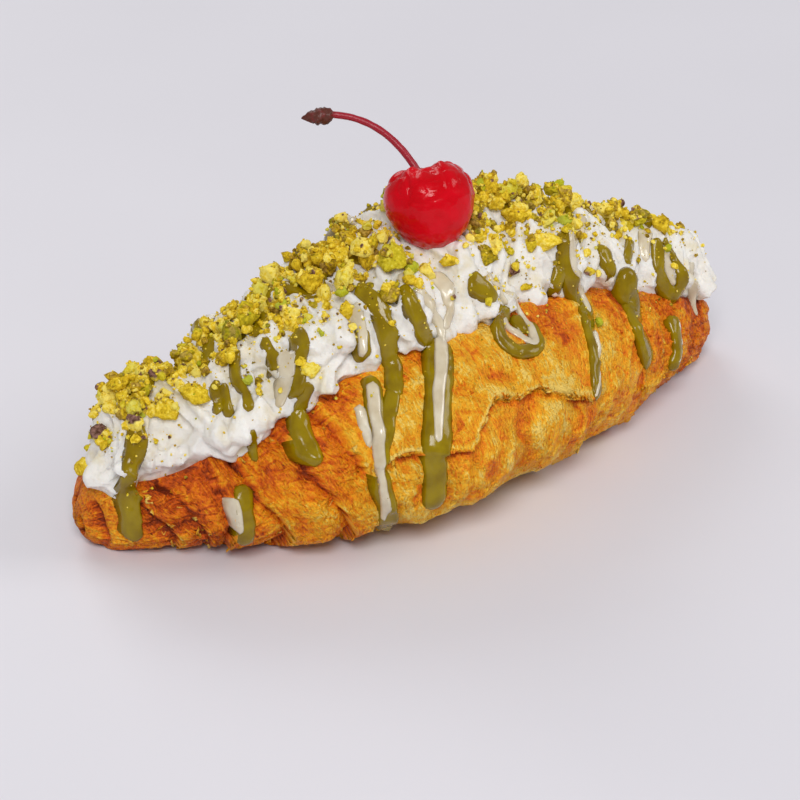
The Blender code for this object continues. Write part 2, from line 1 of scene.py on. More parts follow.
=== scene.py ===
"""The looks of a filled croissant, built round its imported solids.

Metres, +Z up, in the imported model's frame: the croissant lies along X, its bulging front looks
towards -Y and it rests at z = 0. "Around" is an angle in degrees about the long axis: 0 at the
front, 90 on top, 180 at the back and -90 underneath. A place on the croissant or its filling is
(x, around), and landing finds the surface there from outside.
"""

import itertools
import math

import bmesh
import bpy
import numpy as np
from mathutils import Euler, Matrix, Vector, noise
from mathutils.bvhtree import BVHTree


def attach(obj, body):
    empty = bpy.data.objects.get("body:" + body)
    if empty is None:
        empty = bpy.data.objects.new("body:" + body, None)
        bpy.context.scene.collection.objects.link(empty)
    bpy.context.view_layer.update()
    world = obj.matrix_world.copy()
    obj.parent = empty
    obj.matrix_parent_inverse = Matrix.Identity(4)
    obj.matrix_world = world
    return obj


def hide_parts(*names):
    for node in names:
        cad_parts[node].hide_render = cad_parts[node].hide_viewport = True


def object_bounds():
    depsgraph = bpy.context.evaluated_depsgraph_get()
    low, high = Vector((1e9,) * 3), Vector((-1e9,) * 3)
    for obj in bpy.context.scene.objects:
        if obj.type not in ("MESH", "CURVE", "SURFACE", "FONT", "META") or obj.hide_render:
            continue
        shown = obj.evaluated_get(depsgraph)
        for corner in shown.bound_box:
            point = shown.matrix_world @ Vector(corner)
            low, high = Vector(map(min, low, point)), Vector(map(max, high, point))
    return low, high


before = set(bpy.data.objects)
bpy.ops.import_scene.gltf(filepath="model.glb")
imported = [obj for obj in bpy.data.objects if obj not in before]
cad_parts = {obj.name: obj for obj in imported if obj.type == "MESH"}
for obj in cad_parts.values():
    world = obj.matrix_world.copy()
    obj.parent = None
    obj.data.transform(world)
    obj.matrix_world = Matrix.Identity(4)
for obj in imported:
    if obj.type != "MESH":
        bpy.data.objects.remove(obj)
CAD_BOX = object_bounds()

MM = 0.001
AXIS_SHIFT = 12.517 * MM  # from the line through the tips to the frame's origin, in Y

# Camera, fitted to the photo
PHOTO_SIZE = 800  # pixels across, and down
SENSOR = 36.0
LENS = 134.8
VIEW_AZIMUTH = math.radians(-34)
VIEW_ELEVATION = math.radians(29)
VIEW_DISTANCE = 0.70
VIEW_NEAR = 0.01
VIEW_TARGET = Vector((-5.7, 7.02, 14.0)) * MM

# Pastry, as in the solid, but that the slit's front lip is up to about 5 degrees higher and that both
# lips are torn
LENGTH = 178 * MM
FRONT_HALF_WIDTH = 41 * MM
BACK_HALF_WIDTH = 37 * MM
BODY_HEIGHT = 46 * MM
TIP_HALF_WIDTH = 6.5 * MM
TIP_HEIGHT = 15 * MM
BOW = 11.5 * MM
WIDEST = -0.14  # where it is fullest, from -1 at the left tip to 1 at the right one
FRONT_TAPER = (1.8, 1.1)  # left and right: 1 tapers straight to the tip, more stays full longer
BACK_TAPER = (1.4, 1.6)
HEIGHT_TAPER = (1.55, 1.8)
END_ROUND = 7 * MM  # length over which each tip closes
TIP_GIRTH = 0.03  # share of its girth that a tip keeps at its very end
MIDLINE = 0.45  # height of the widest place, as a share of the section's height
RISE = 0.55  # height above the midline
UNDERSIDE = 0.50  # depth below it
LUMPS = 0.7 * MM
LUMP_SPACING = 15 * MM
# Wraps of dough: (X, slant, step up towards the middle, how brown the rim is)
LEFT_EDGES = (
    (-83.0, 0.5, 0.7, 0.5),
    (-76.5, 5.0, 1.0, 0.5),
    (-71.0, 6.0, 0.9, 0.6),
    (-65.0, 1.5, 1.6, 0.7),
    (-57.5, 6.0, 2.4, 0.8),
    (-46.5, 9.0, 2.1, 1.0),
    (-37.5, 8.0, 1.6, 0.6),
)
RIGHT_EDGES = (
    (24.0, -7.0, 2.6, 0.1),
    (45.5, -2.0, 2.2, 0.5),
    (55.0, -3.0, 1.5, 0.7),
    (65.0, -1.5, 1.5, 0.8),
    (73.0, -1.0, 1.0, 0.9),
    (80.5, -0.5, 0.7, 0.8),
)
EDGE_PROUD = 0.75  # share of a step above the plain form at a wrap's edge
EDGE_SUNK = 0.4  # and below it where the next wrap begins
EDGE_FALL = 1.2  # power by which a wrap falls from the one to the other
LAST_RUN = 18 * MM  # from the innermost edges to the plain middle
# The last flap of dough ends in a seam along the front: (X, height round the body in degrees)
SEAM = ((-38, 16), (-30, 21), (-18, 14), (-14, 22), (-8, 31), (-1, 26), (5, 26), (16, 15), (25, 9))
SEAM_STEP = 1.5 * MM
SEAM_ABOVE = (0.6, 16)  # share of the step that the flap stands out, and the degrees over which that fades
SEAM_BELOW = (1.0, 14)  # and what is under it sinks in
SEAM_ENDS = 5 * MM  # length over which it fades at each end
SEAM_SIDES = 80  # degrees to each side of the front that count as the seam's
FOLDS = ((-34.0, 5.0), (-17.0, 0.5), (16.0, -3.0))  # folds below the seam: (X, slant)
FOLD_DEPTH = 1.3 * MM
FOLD_WIDTH = 1.6 * MM
FOLD_CREASE = (0.8, 1.3)  # share of the depth in its crease, and how sharply that fades
FOLD_BANK = (0.32, 1.5, 2)  # share beside the crease, how far and how softly that ends
FOLD_TOP = 8  # degrees under the seam over which it deepens
# The slit: its lips, as (X, degrees round the body)
SLIT_FRONT = ((-80, 51), (-57, 52), (-45, 59), (-32, 63.5), (-20, 66), (10, 69), (40, 70), (68, 58), (80, 52))
SLIT_BACK = ((-80, 118), (-57, 117), (-20, 123), (10, 130), (80, 132))
SLIT_ENDS = (-82 * MM, 80 * MM)
SLIT_DEPTH = 11 * MM
SLIT_RUN_OUT = 12 * MM
SLIT_LIP = 9  # degrees over which the relief fades at it
LIP_TEARS = ((2.4, 10 * MM), (1.5, 3.6 * MM))  # degrees that the lips stray, and over what length

# Crust, finer than the solid
RING_PITCH = 0.34 * MM
END_RINGS = 26
FRONT_ROWS = (80, 118)  # above and below the seam
BACK_ROWS = 100
SLIT_ROWS = 5
SEAM_ROWS_GAP = 0.8  # degrees from the seam to the nearest row on each side
ARC = 30 * MM  # the body's mean radius, to tell lengths round it
EDGE_WOBBLE = ((1.3 * MM, 9 * MM), (0.6 * MM, 2.6 * MM))  # how far and over what length
VALLEY_DEPTH = 1.6 * MM  # where a wrap goes under the next one
VALLEY_WIDTH = 2.2 * MM
LAYER_PITCH = 1.35 * MM  # the dough's thin layers, seen at the wraps' edges
LAYER_HEIGHT = 0.45 * MM
LAYER_RISE = (1.5, 0.4)  # power by which a layer rises to its edge, and its middle level
LAYER_FADES = (3 * MM, 4 * MM)  # from a wrap's own edge and from the next one's
LAYER_ELSEWHERE = 0.15  # share that is seen far from both
LAYER_WAVES = (0.8, 6 * MM)  # how far they stray, in layers, and over what length
LAYER_BREAKS = (5 * MM, 0.7)  # size of the places without any, and how few they are
WOBBLE_SHARES = (1.6, 1.6)  # of the wobble: in the layers, and in the seam in degrees a millimetre
UNDER_RELIEF = (0.25, 0.98, 0.5)  # share underneath, and from what height to what the rest comes
DENTS = ((0.9 * MM, 24 * MM), (0.6 * MM, 9 * MM))
# Layers that ended or tore: how long they are beside their width, their size and how much they count
SHEETS = ((0.42, 8.5 * MM, 1.0), (0.6, 3.4 * MM, 0.5))
SHEET_STEPS = 2.6
SHEET_EDGE = 0.14
SHEET_HEIGHT = 0.95 * MM
# The flaky skin's crests: height, size and how much longer than wide they are round the body
CRESTS = (
    (0.9 * MM, 6.0 * MM, 0.6),
    (0.65 * MM, 2.9 * MM, 0.4),
    (0.42 * MM, 1.5 * MM, 0.42),
    (0.2 * MM, 0.8 * MM, 0.5),
)
CREST_LEVEL = 0.4  # so that crests and hollows balance
CREST_WARP = (1.3 * MM, 4 * MM)
WARP_APART = (7, 14, 21)  # so that each direction reads the noise at a place of its own
SPIRAL_DEPTH = 1.9 * MM
SPIRAL_TURNS = 1.9
SPIRAL_GROOVE = 0.12  # its width, in turns
SPIRAL_RIM = (0.97, 0.2)  # how far the tip has closed where it begins, and how softly
# How brown the crust is, from 0 for yellow to 1 for nearly black, and painted shade in its valleys,
# at the foot of its sheets' steps and in the hollows between its crests. Pairs are an amount and the
# length over which it fades.
BAKE_PLAIN = 0.25
BAKE_TIPS = (0.32, 0.24)  # more at the left tip and at the right one
BAKE_PALE = (-4 * MM, 22 * MM, 62 * MM)  # the pale stretch's middle and half length, and its fading
BAKE_RIMS = ((0.26, 2.2 * MM), (0.12, 7 * MM))  # where a wrap's rim is brown
BAKE_TORN = (-0.40, 0.5 * MM)  # the thin dough at its very edge
# painted shade: darker in the valley before each next wrap's edge, where shade falls
VALLEY_SHADE = (0.42, 1.3 * MM)
BAKE_LIP = (0.10, 25, 40)  # by the slit: amount, where it starts round the body and its fading
BAKE_LIP_LEAST = 0.4  # share of it away from the tips
BAKE_UNDER = (0.16, 35, 50)  # and underneath
# painted shade at the foot of each sheet's step, then a paler thin edge on its top
SHEET_SHADE_AND_EDGES = ((0.22, 0.80, 0.06), (-0.18, 0.98, 0.04))  # amount, place on a sheet's edge and width
# painted shade: darker in the hollows between the crests, paler on their tops
CREST_SHADE = -0.26 / MM
BAKE_SEAM = ((0.30, -2.5, 2), (-0.40, 1.2, 1.4))  # amount, degrees above the seam and width
BAKE_CLOUDS = ((0.14, 11 * MM), (0.14, 4 * MM))
BAKE_SPIRAL = 0.55
BAKE_INSIDE = 0.5
# Patches that baked browner or stayed paler, by the photo's pixels, with their radius in millimetres
BAKED_SPOTS = (
    (84, 500, 6, -0.06), (80, 528, 6, -0.07), (108, 518, 4, -0.17), (160, 492, 8, 0.03),
    (205, 478, 9, 0.17), (190, 530, 7, -0.04), (262, 452, 6, 0.05), (306, 470, 5, 0.17),
    (285, 502, 8, -0.02), (330, 398, 6, 0.12), (330, 428, 7, 0.20), (345, 515, 7, -0.18),
    (400, 484, 8, -0.06), (405, 395, 8, -0.09), (418, 445, 8, 0.07), (472, 425, 10, 0.10),
    (480, 470, 9, 0.12), (500, 395, 6, 0.02), (520, 332, 12, 0.15), (562, 322, 8, 0.22),
    (530, 420, 14, -0.06), (553, 372, 7, -0.09), (545, 448, 8, 0.05), (590, 425, 8, 0.24),
    (640, 395, 7, 0.10), (615, 300, 8, 0.10), (470, 350, 8, 0.02),
)
# Loose flakes: ranges are drawn from evenly, in millimetres where they are lengths
FLAKES = 300
FLAKE_SEED = 3
FLAKES_AT_SEAM = 0.3  # share
FLAKE_SPREAD = (1.0, 0.7)  # degrees off the seam, millimetres off an edge
FLAKE_STEPS = 0.8  # the least step whose edge has any
FLAKES_IN_FRONT = 0.6  # share of those at the edges
FLAKE_SIDES = ((-62, 62), (120, 235))  # where they lie round the body, in front and behind
FLAKE_TONES = (-0.1, 0.45)
FLAKE_LENGTH = (0.9, 2.8)
FLAKE_WIDTH = (0.5, 1.3)
FLAKE_THICKNESS = (0.10, 0.20)
FLAKE_STRAY = 0.5  # how far they turn from the dough's grain
FLAKE_LIFT = (0.1, 0.7)
FLAKE_BOW = (-0.2, 0.3)
FLAKE_GRID = (7, 4)
FLAKE_POINTED = (0.75, 2.2, 0.25)  # how much and how suddenly the ends narrow, and how ragged they are
FLAKE_REACH = (0.15, 1.2)
FLAKE_SUNK = 0.08 * MM
FLAKE_FLOOR = 0.3 * MM
FLAKE_MARGIN = 1 * MM  # none stands where the body bulges farthest
FLAKE_CLEARANCE = 0.02 * MM

# Cream, as in the solid, with its front foot a millimetre farther in about X = -40
MOUND = (  # (X, front foot, ridge and back foot in Y, the ridge's height)
    (-88, -7.0, -2.0, 3.0, 24.0), (-80, -13.0, -4.0, 5.0, 33.5), (-68, -21.0, -7.5, 6.0, 38.5),
    (-57, -28.0, -8.5, 7.0, 42.0), (-45, -29.5, -8.0, 8.0, 46.5), (-33, -29.5, -7.0, 9.5, 51.5),
    (-20, -32.0, -6.0, 11.5, 58.5), (-5, -31.5, -5.0, 13.0, 62.0), (10, -27.5, -4.0, 13.0, 61.5),
    (25, -25.0, -3.0, 12.0, 57.0), (40, -20.0, -2.5, 11.0, 51.0), (54, -18.0, -2.0, 10.0, 44.5),
    (68, -15.5, -1.0, 8.5, 39.5), (80, -11.0, 0.0, 7.0, 32.5), (88, -8.0, 0.5, 6.0, 25.0),
)
FOOT_SINK = 0.6
PEAK = 1.2  # 1 gives the mound an elliptical section, more a pointed one
TURNS = (-83, -70, -60, -49, -40, -29.5, -20, -8, 3, 15, 27, 39, 50, 59.5, 68.5, 76, 82)
DROOPS = (1.5, 0.5, 2.5, 1.0, 0.0, 1.5, 1.0, 0.5, 2.0, 1.0, 0.0, 1.5, 1.0, 0.5, 1.0, 0.0, 0.5)
TURN_SPREAD = 0.11
ROPE_RADIUS = 3.6 * MM
ROPE_GROWTH = 0.06
CORE_INSET = 0.45
CORE_GRID = (60, 25)
CORE_SHORT = 3  # millimetres that it ends before the mound does
CORE_FLOOR = (0.8, 0.2)  # where its lower corners lie, from the front foot to the back one
# and finer than it
ROPE_RIDGES = 11
RIDGE_DEPTH = 0.21
ROPE_STEPS = 70
ROPE_SIDES = 88
ROPE_TWIST = math.radians(35)
FLUTE_LEVEL = 1.2  # so that ridges and flutes balance
ROPE_END = 0.6
CAP_STEPS = 6
CAP_SHAPE = (0.7, 0.15, 0.6)  # power of its reach, least girth and power of its girth
CREAM_GRAIN = 0.56 * MM
CREAM_SWELLS = ((1.2 * MM, 8 * MM), (0.45 * MM, 3.4 * MM))
CREAM_PEAKS = ((0.8 * MM, 4.6 * MM), (0.36 * MM, 2.3 * MM), (0.14 * MM, 1.2 * MM))  # sharp-crested
PEAK_LEVEL = 0.35
# Pointed leaves of cream, by the photo's pixels: foot, then tip. And behind: (X, foot, tip) in degrees
LEAVES = (
    ((311, 353), (322, 307)), ((334, 348), (336, 307)), ((257, 365), (261, 343)),
    ((245, 359), (247, 340)), ((270, 356), (273, 321)), ((219, 383), (219, 356)),
    ((369, 342), (363, 300)), ((413, 330), (404, 296)), ((463, 300), (457, 245)),
    ((520, 290), (514, 222)), ((540, 287), (536, 245)), ((557, 252), (561, 215)),
    ((590, 270), (587, 224)), ((645, 277), (635, 224)), ((690, 275), (680, 235)),
)
LEAVES_BEHIND = (
    (-66, 141, 120), (-50, 143, 118), (-36, 140, 116), (-12, 143, 114), (14, 140, 116), (30, 143, 118),
    (56, 141, 120),
)
# The cream's lower edge in the photo, left to right, where lobes of cream hang, and theirs behind
CREAM_FOOT = (
    (100, 482), (137, 472), (167, 474), (190, 459), (210, 443), (237, 430), (258, 441), (280, 419),
    (294, 410), (310, 398), (328, 390), (348, 377), (366, 364), (386, 351), (423, 342), (450, 330),
    (480, 318), (503, 313), (510, 298), (540, 295), (567, 293), (587, 279), (613, 276), (633, 281),
    (660, 287), (677, 294), (700, 296),
)
LOBE_PITCH = 25  # pixels along the edge
LOBE_TALL = (18, 40)
LOBE_LEAN = (-2, 8)
LOBES_BEHIND = (-80, 78, 26)  # first X, last X and how many
LOBE_INSET = 3 * MM  # of those behind, from the mound's foot
LOBE_TALL_BEHIND = (8, 22)  # degrees
LOBE_SEED = 11
LEAF_RADIUS = 3.1 * MM
LEAF_PROFILE = ((0, 0.75), (0.3, 1.0), (0.7, 0.62), (0.9, 0.3), (1.0, 0.06))
LEAF_STANDS = (-1.6 * MM, 1.3 * MM)  # off the mound, at its foot and its tip
LEAF_STEPS = 24
LEAF_RIBS = 6

# Sauce on the front: each streak's width in millimetres, then its path by the photo's pixels, from
# where it starts
GREEN_PATHS = {
    "left_end": (4.6, (138, 422), (135, 450), (131, 475), (128, 500), (131, 522), (132, 541)),
    "left_drip_a": (2.6, (214, 380), (217, 400), (217, 415)),
    "left_drip_b": (2.8, (221, 386), (226, 402), (231, 417)),
    "left_drip_c": (3.0, (233, 352), (237, 378), (246, 394), (248, 412)),
    "left_fold": (2.2, (262, 339), (273, 358), (277, 370)),
    "left_crust": (4.6, (243, 484), (243, 510), (242, 543)),
    "left_thin": (1.8, (251, 430), (254, 446), (256, 462)),
    "shoulder": (3.0, (293, 340), (300, 358), (296, 378), (297, 398)),
    "drop_neck": (3.2, (309, 382), (303, 400), (299, 418)),
    "drop": (5.8, (297, 412), (300, 430), (306, 448), (314, 467)),
    "white_drip_rim": (4.2, (358, 330), (362, 345), (363, 362)),
    "middle_left": (4.2, (357, 285), (373, 298), (384, 320), (388, 342), (394, 366), (394, 396)),
    "middle_left_rim": (4.4, (369, 376), (373, 396), (376, 420), (380, 446)),
    "middle_left_low": (3.2, (393, 388), (387, 418), (382, 448), (381, 476)),
    "middle_left_foot": (4.4, (380, 468), (385, 496), (380, 526)),
    "centre": (4.4, (404, 284), (412, 304), (421, 330), (430, 346)),
    "centre_low": (6.4, (438, 338), (439, 370), (438, 410), (436, 450), (435, 480), (433, 508)),
    "loop": (4.6, (509, 310), (496, 325), (502, 341), (518, 352), (533, 350), (539, 341), (529, 322)),
    "loop_inside": (4.4, (512, 316), (519, 325), (526, 334)),
    "patch": (5.2, (468, 280), (480, 292), (497, 299)),
    "right": (5.4, (566, 232), (567, 258), (573, 284), (582, 304), (590, 330), (597, 360), (594, 400)),
    "big_drop": (7.0, (611, 291), (627, 303), (638, 325), (646, 366)),
    "small_drop": (4.6, (668, 316), (677, 334), (678, 354), (669, 370)),
    "right_cream": (2.4, (622, 214), (630, 240), (627, 264)),
    "right_foot": (3.8, (562, 264), (558, 280), (553, 294)),
    "right_loop": (3.6, (657, 238), (659, 272), (671, 299), (681, 290), (677, 262), (664, 238)),
    "right_patch": (4.6, (602, 246), (606, 262), (614, 277)),
    "far_lip_a": (2.2, (279, 281), (289, 273), (305, 274)),
    "far_lip_b": (2.4, (266, 293), (272, 286)),
    "far_lip_c": (2.4, (219, 336), (227, 325), (238, 326)),
}
WHITE_PATHS = {
    "left_crust": (2.2, (233, 498), (236, 514), (238, 533)),
    "left_lobe": (3.6, (283, 352), (286, 372), (283, 392), (279, 408)),
    "drip": (3.0, (349, 312), (361, 325), (363, 342), (363, 357)),
    "middle_left": (3.3, (372, 382), (375, 412), (378, 446), (380, 472)),
    "middle_left_foot": (1.8, (380, 466), (384, 490), (386, 506), (383, 520)),
    "middle_left_b": (2.2, (358, 405), (363, 424), (370, 448)),
    "centre": (3.4, (398, 275), (417, 285), (431, 303), (441, 326), (444, 345)),
    "centre_low": (3.1, (441, 336), (442, 362), (439, 388), (439, 415), (438, 442)),
    "centre_b": (3.8, (434, 272), (447, 290), (450, 312), (444, 330)),
    "loop": (2.2, (504, 318), (514, 331), (526, 339), (536, 343), (531, 324), (517, 309), (505, 292)),
    "arc": (2.2, (486, 276), (500, 285), (507, 305)),
    "right": (3.4, (582, 214), (573, 238), (575, 268), (583, 296), (590, 312)),
    "right_rim": (1.6, (595, 330), (600, 350), (600, 380), (595, 397)),
    "small_rim": (1.4, (679, 322), (683, 344), (679, 362)),
    "right_loop": (2.8, (665, 246), (668, 270), (674, 286)),
    "right_end": (2.4, (690, 262), (693, 290), (697, 316)),
    "right_mid": (4.2, (646, 226), (644, 246), (646, 262)),
}
# and over the back: (x on top, x at the end, where it ends round the body, width, sauce)
BACK_STREAKS = (
    (-78, -75, 170, 4.6, "green"), (-70, -67, 150, 2.6, "white"), (-62, -59, 176, 4.4, "green"),
    (-58, -56, 160, 3.0, "white"), (-52, -50, 132, 3.0, "green"), (-44, -41, 190, 5.2, "green"),
    (-35, -33, 140, 3.2, "green"), (-31, -29, 172, 3.0, "white"), (-26, -23, 168, 4.8, "green"),
    (-17, -14, 196, 5.6, "green"), (-13, -10, 180, 3.6, "white"), (-4, -1, 142, 3.4, "green"),
    (5, 8, 164, 5.2, "green"), (9, 12, 184, 3.0, "white"), (20, 23, 146, 3.4, "green"),
    (34, 37, 188, 5.0, "green"), (38, 41, 170, 3.0, "white"), (46, 49, 170, 5.0, "green"),
    (54, 56, 140, 2.8, "white"), (63, 66, 182, 4.2, "green"), (73, 75, 150, 3.0, "green"),
)
BACK_START = 104  # degrees round, where they start
BACK_SWERVE = 1.5  # millimetres to the left, half way down
# and in waves along the ridge, either side of the cherry: (first X, last X)
RIDGE_RUNS = ((-82, -17), (12, 74))
RIDGE_WAVE = 14 * MM
RIDGE_STEPS = 10  # landings to a wave
RIDGE_SWING = (96, 9)  # degrees round: the middle of the waves and their reach
RIDGE_WIDTH = 3.4
SAUCE_STEP = 0.55 * MM
SAUCE_ACROSS = 9
SAUCE_DOME = 0.6  # power that rounds its section: 0.5 is an ellipse
SAUCE_HEIGHTS = {"green": 0.18, "white": 0.08}  # share of its width that a streak stands up
SAUCE_FILL = 0.95  # share of the dips under it that a streak fills
FILL_STEPS = 30
SAUCE_SOAK = 0.5 * MM
SAUCE_UNEVEN = (0.12, 5 * MM)
SAUCE_SEED_STEP = 0.1  # metres between the places where two streaks read the noise
SAUCE_TAPERS = {"green": 0.12, "white": 0.45}  # share of its width that a streak loses on its way
SAUCE_END = 0.05  # share of its width at its very end
SAUCE_BEAD = (0.45, 0.5, 0.8)  # extra height by its lower end, with place and length in widths
SPACED_LEAST = 6  # points of an evenly spaced line, at least
ROUNDING = (2, 6)  # times that its corners are rounded: at least, and once for so many points

# The largest nuts, by the photo's pixels, with their size in millimetres and kind
PLACED_NUTS = (
    (190, 360, 8.0, "kernel"), (171, 406, 7.2, "skinned"), (318, 243, 6.2, "kernel"),
    (313, 289, 6.8, "kernel"), (347, 284, 6.4, "kernel"), (325, 268, 6.0, "dusty"),
    (258, 311, 6.6, "kernel"), (390, 294, 6.4, "dusty"), (392, 262, 7.0, "kernel"),
    (368, 262, 5.8, "kernel"), (517, 195, 6.2, "kernel"), (537, 201, 5.6, "kernel"),
    (559, 195, 5.8, "kernel"), (575, 207, 5.4, "kernel"), (498, 204, 4.6, "kernel"),
    (482, 259, 5.6, "dusty"), (476, 238, 4.4, "kernel"), (492, 246, 4.4, "kernel"),
    (530, 242, 4.2, "kernel"), (510, 270, 4.0, "skinned"), (451, 262, 4.0, "kernel"),
    (113, 399, 4.6, "kernel"), (128, 393, 5.4, "kernel"), (141, 402, 5.2, "kernel"),
    (121, 412, 5.0, "dusty"), (134, 420, 4.6, "skinned"), (150, 412, 4.4, "kernel"),
    (229, 346, 5.6, "kernel"), (225, 361, 4.4, "dusty"), (311, 367, 4.6, "kernel"),
    (296, 325, 4.8, "kernel"), (247, 322, 5.0, "dusty"), (280, 300, 5.0, "kernel"),
    (278, 314, 4.4, "dusty"), (597, 323, 3.0, "lime"), (249, 381, 3.4, "lime"), (412, 270, 3.8, "lime"),
    (545, 222, 4.8, "kernel"), (520, 222, 4.6, "kernel"), (615, 214, 4.0, "kernel"),
    (640, 222, 3.8, "kernel"), (668, 232, 3.6, "kernel"),
)
# and the rest by chance: how many, the smallest, the largest, their spread round the ridge in
# degrees and how finely each is made
SCATTERED = {
    "pieces": (260, 3.2, 6.8, 12, 3),
    "bits": (1600, 1.2, 3.2, 15, 2),
    "dust": (4400, 0.35, 1.1, 25, 1),
}
NUT_SMALLNESS = 2.2  # power that makes small ones the commoner
NUT_DRIFTS = (  # (X, how thickly they lie there, the middle of their spread round the body)
    (-86, 0.5, 92), (-76, 0.95, 92), (-62, 0.5, 95), (-45, 0.8, 95), (-25, 0.85, 94), (-5, 0.55, 95),
    (10, 1, 99), (35, 1, 102), (50, 0.65, 106), (85, 0.5, 108),
)
NUT_RANGE = (-84, 84)
NUT_LIMITS = (8, 178)
NUT_CLEAR = 0.45  # share of its size that a nut's middle keeps from the cherry
NUT_KINDS = {"kernel": 0.68, "dusty": 0.21, "skinned": 0.08, "lime": 0.03}
NUT_FINEST = 4  # how finely the largest are made
NUT_FACETED = 2  # those made no finer than this keep their facets
NUT_SEED = 5
NUT_RADIUS = 0.46  # share of its size
NUT_LIFT = 0.20  # share of its size that a piece's middle stands off
# In radii: an oval's least and greatest half widths, and how far from its middle it is cut flat
NUT_OVAL = ((0.75, 0.7, 0.95), (1.0, 0.95, 1.35))
NUT_CUTS = 5
CUT_AT = (0.35, 0.75)
CUT_SHARE = 0.8  # of what stands past a cut
NUT_CRUMBLE = ((0.20, 0.60), (0.17, 0.28), (0.08, 0.13))
NUT_TONES = ((0.50, 1.05), (0.20, 0.50))  # of clean and dusty ones
NUT_MOTTLE = (0.18, 0.5)
DUSTY_SKIN = (0.45, 0.15)  # how much skin clings in patches, and how few they are
SKIN_EDGE = (0.1, 0.4, 0.2)  # of a skinned one: where it lies, how far it strays and how soft it is
LIME = 0.75
LIME_TINGE = (0.35, 0.4)  # share of the others that have some, and how much at most
NOISE_RANGE = (-50, 50)  # each piece reads the noise at a place of its own

# Cherry and stem, as in the solids
CHERRY_RADIUS = 10.1 * MM
CHERRY_CENTRE = Vector((-2.6, -13.0 + AXIS_SHIFT / MM, 66.5)) * MM
CHERRY_LEAN = (math.radians(-30), math.radians(4))  # about X and Y: it tips away from the front
CHERRY_HEIGHT = 1.02
SHOULDER_SWELL = 0.09  # it is fullest by its shoulders
SHOULDER_PLACE = (0.55, 0.4)  # their height, and over how much of it they swell
BASE_TAPER = 0.13
DIMPLE_DEPTH = 0.34
DIMPLE_WIDTH = 0.32
CLEFT_DEPTH = 0.10  # the groove from the dimple down the side
CLEFT_WIDTH = 0.35
CLEFT_HEADING = math.radians(-112)
STEM_LENGTH = 23.0 * MM
STEM_RADIUS = 0.78 * MM
STEM_NARROWING = (1.12, 0.15)  # its radius at the cherry, and how much narrower it is at its end
STEM_LIFT = 1.8 * MM  # clear of the dimple's floor
STEM_ROOT = 2.5 * MM  # how far it goes on below that, into the flesh
STEM_SHIFT = 1.9 * MM  # from the dimple's middle towards the side that it bends to
STEM_HEADING = Vector((-0.829, 0.559, 0))  # it bends over this way
STEM_UP = Vector((0.271, 0.402, 0.875))  # and stands this way
STEM_RISE = (math.radians(57), math.radians(2))  # its slope at the cherry and at its end
STEM_BEND = 1.3  # above 1 it bends more towards its end
STEM_STEPS = 60
KNOB_SLOPE = math.radians(-6)
KNOB_LENGTH = 7.2 * MM
KNOB_RADIUS = 1.8 * MM
KNOB_PROFILE = ((0, 0.45), (0.08, 0.85), (0.25, 1.0), (0.5, 0.9), (0.75, 0.6), (0.93, 0.3), (1.0, 0.08))
KNOB_STEPS = 30
STEM_SIDES = 28
# and their finer relief, as shares of the radius
WRINKLES = ((0.018, 0.42), (0.010, 0.17))
CREASES = ((0.030, 0.55, 0.10), (0.016, 0.26, 0.14))  # depth, size and width
CREASE_SHIFT = 3  # from the noise of the wrinkles
CREASES_FROM = -0.4  # height
CHERRY_SEGMENTS = (190, 120)
PUCKERS = 9
PUCKER_DEPTH = 0.028
PUCKER_STRAY = (3, 0.8)
PUCKER_RING = (0.5, 0.25)  # distance from the axis, and width
STALK_WAVES = ((0.08, 1.6 * MM),)
KNOBBLES = ((0.26, 1.1 * MM), (0.20, 0.5 * MM))
WOODY_FROM = (3, 5)  # steps before the knob where it begins, and over how many

# Floor and light
FLOOR_HALF = 3.0
FLOOR_GAP = 0.2 * MM
SKY = (0.98, 0.97, 1.0, 1)
SKY_STRENGTH = 0.30
LIGHT_AIM = Vector((0, 0, 30)) * MM
LIGHTS = {  # place, width and height in metres, power in watts
    "key": ((-1.3, -1.9, 2.4), (1.3, 1.3), 68.0),
    "side": ((2.1, -1.4, 1.9), (1.3, 1.3), 23.0),
    "behind": ((0.4, 2.9, 2.2), (1.8, 1.5), 30.0),
}

REACH = 0.15  # from well outside any surface
MIX_SOCKETS = (0, 6, 7)  # a Mix node's factor and its two colours


# ------------------------------------------------------------------ small tools


def smooth(x):
    x = np.clip(x, 0, 1)
    return x * x * (3 - 2 * x)


def bell(x, middle, width):
    return np.exp(-(((x - middle) / width) ** 2))


def fade(distance, amount, length):
    """An amount that fades with distance, most of it within this length."""
    return amount * np.exp(-distance / length)


def unit(vector):
    return vector / np.linalg.norm(vector)


def along_table(u, table, column=1):
    points = np.array(table, float)
    return np.interp(u, points[:, 0] * MM, points[:, column])


def lattice(i, j, k):
    """A repeatable random value from -1 to 1 for each whole-numbered place."""
    n = (i * 73856093) ^ (j * 19349663) ^ (k * 83492791)
    n = ((n ^ (n >> 13)) * 1274126177) & 0x7FFFFFFF
    n = ((n ^ (n >> 15)) * 1103515245) & 0x7FFFFFFF
    return ((n >> 8) & 0xFFFF) / 32767.5 - 1


def rumple(points, size):
    """Smooth noise from -1 to 1 over space, in lumps of about this size."""
    places = np.asarray(points) / size
    cell = np.floor(places).astype(np.int64)
    t = smooth(places - cell)
    total = np.zeros(len(places))
    for corner in itertools.product((0, 1), repeat=3):
        weight = np.where(corner, t, 1 - t).prod(axis=1)
        total += weight * lattice(*(cell + corner).T)
    return total


def rumples(points, sizes):
    return sum(height * rumple(points, size) for height, size in sizes)


def grid_faces(rows, columns, closed=True):
    """Quads of a grid of vertices, its rows closed on themselves or open."""
    across = np.arange(columns if closed else columns - 1)
    following = (across + 1) % columns
    start = (np.arange(rows - 1) * columns)[:, None]
    quads = (start + across, start + following, start + columns + following, start + columns + across)
    return np.stack(quads, -1).reshape(-1, 4)


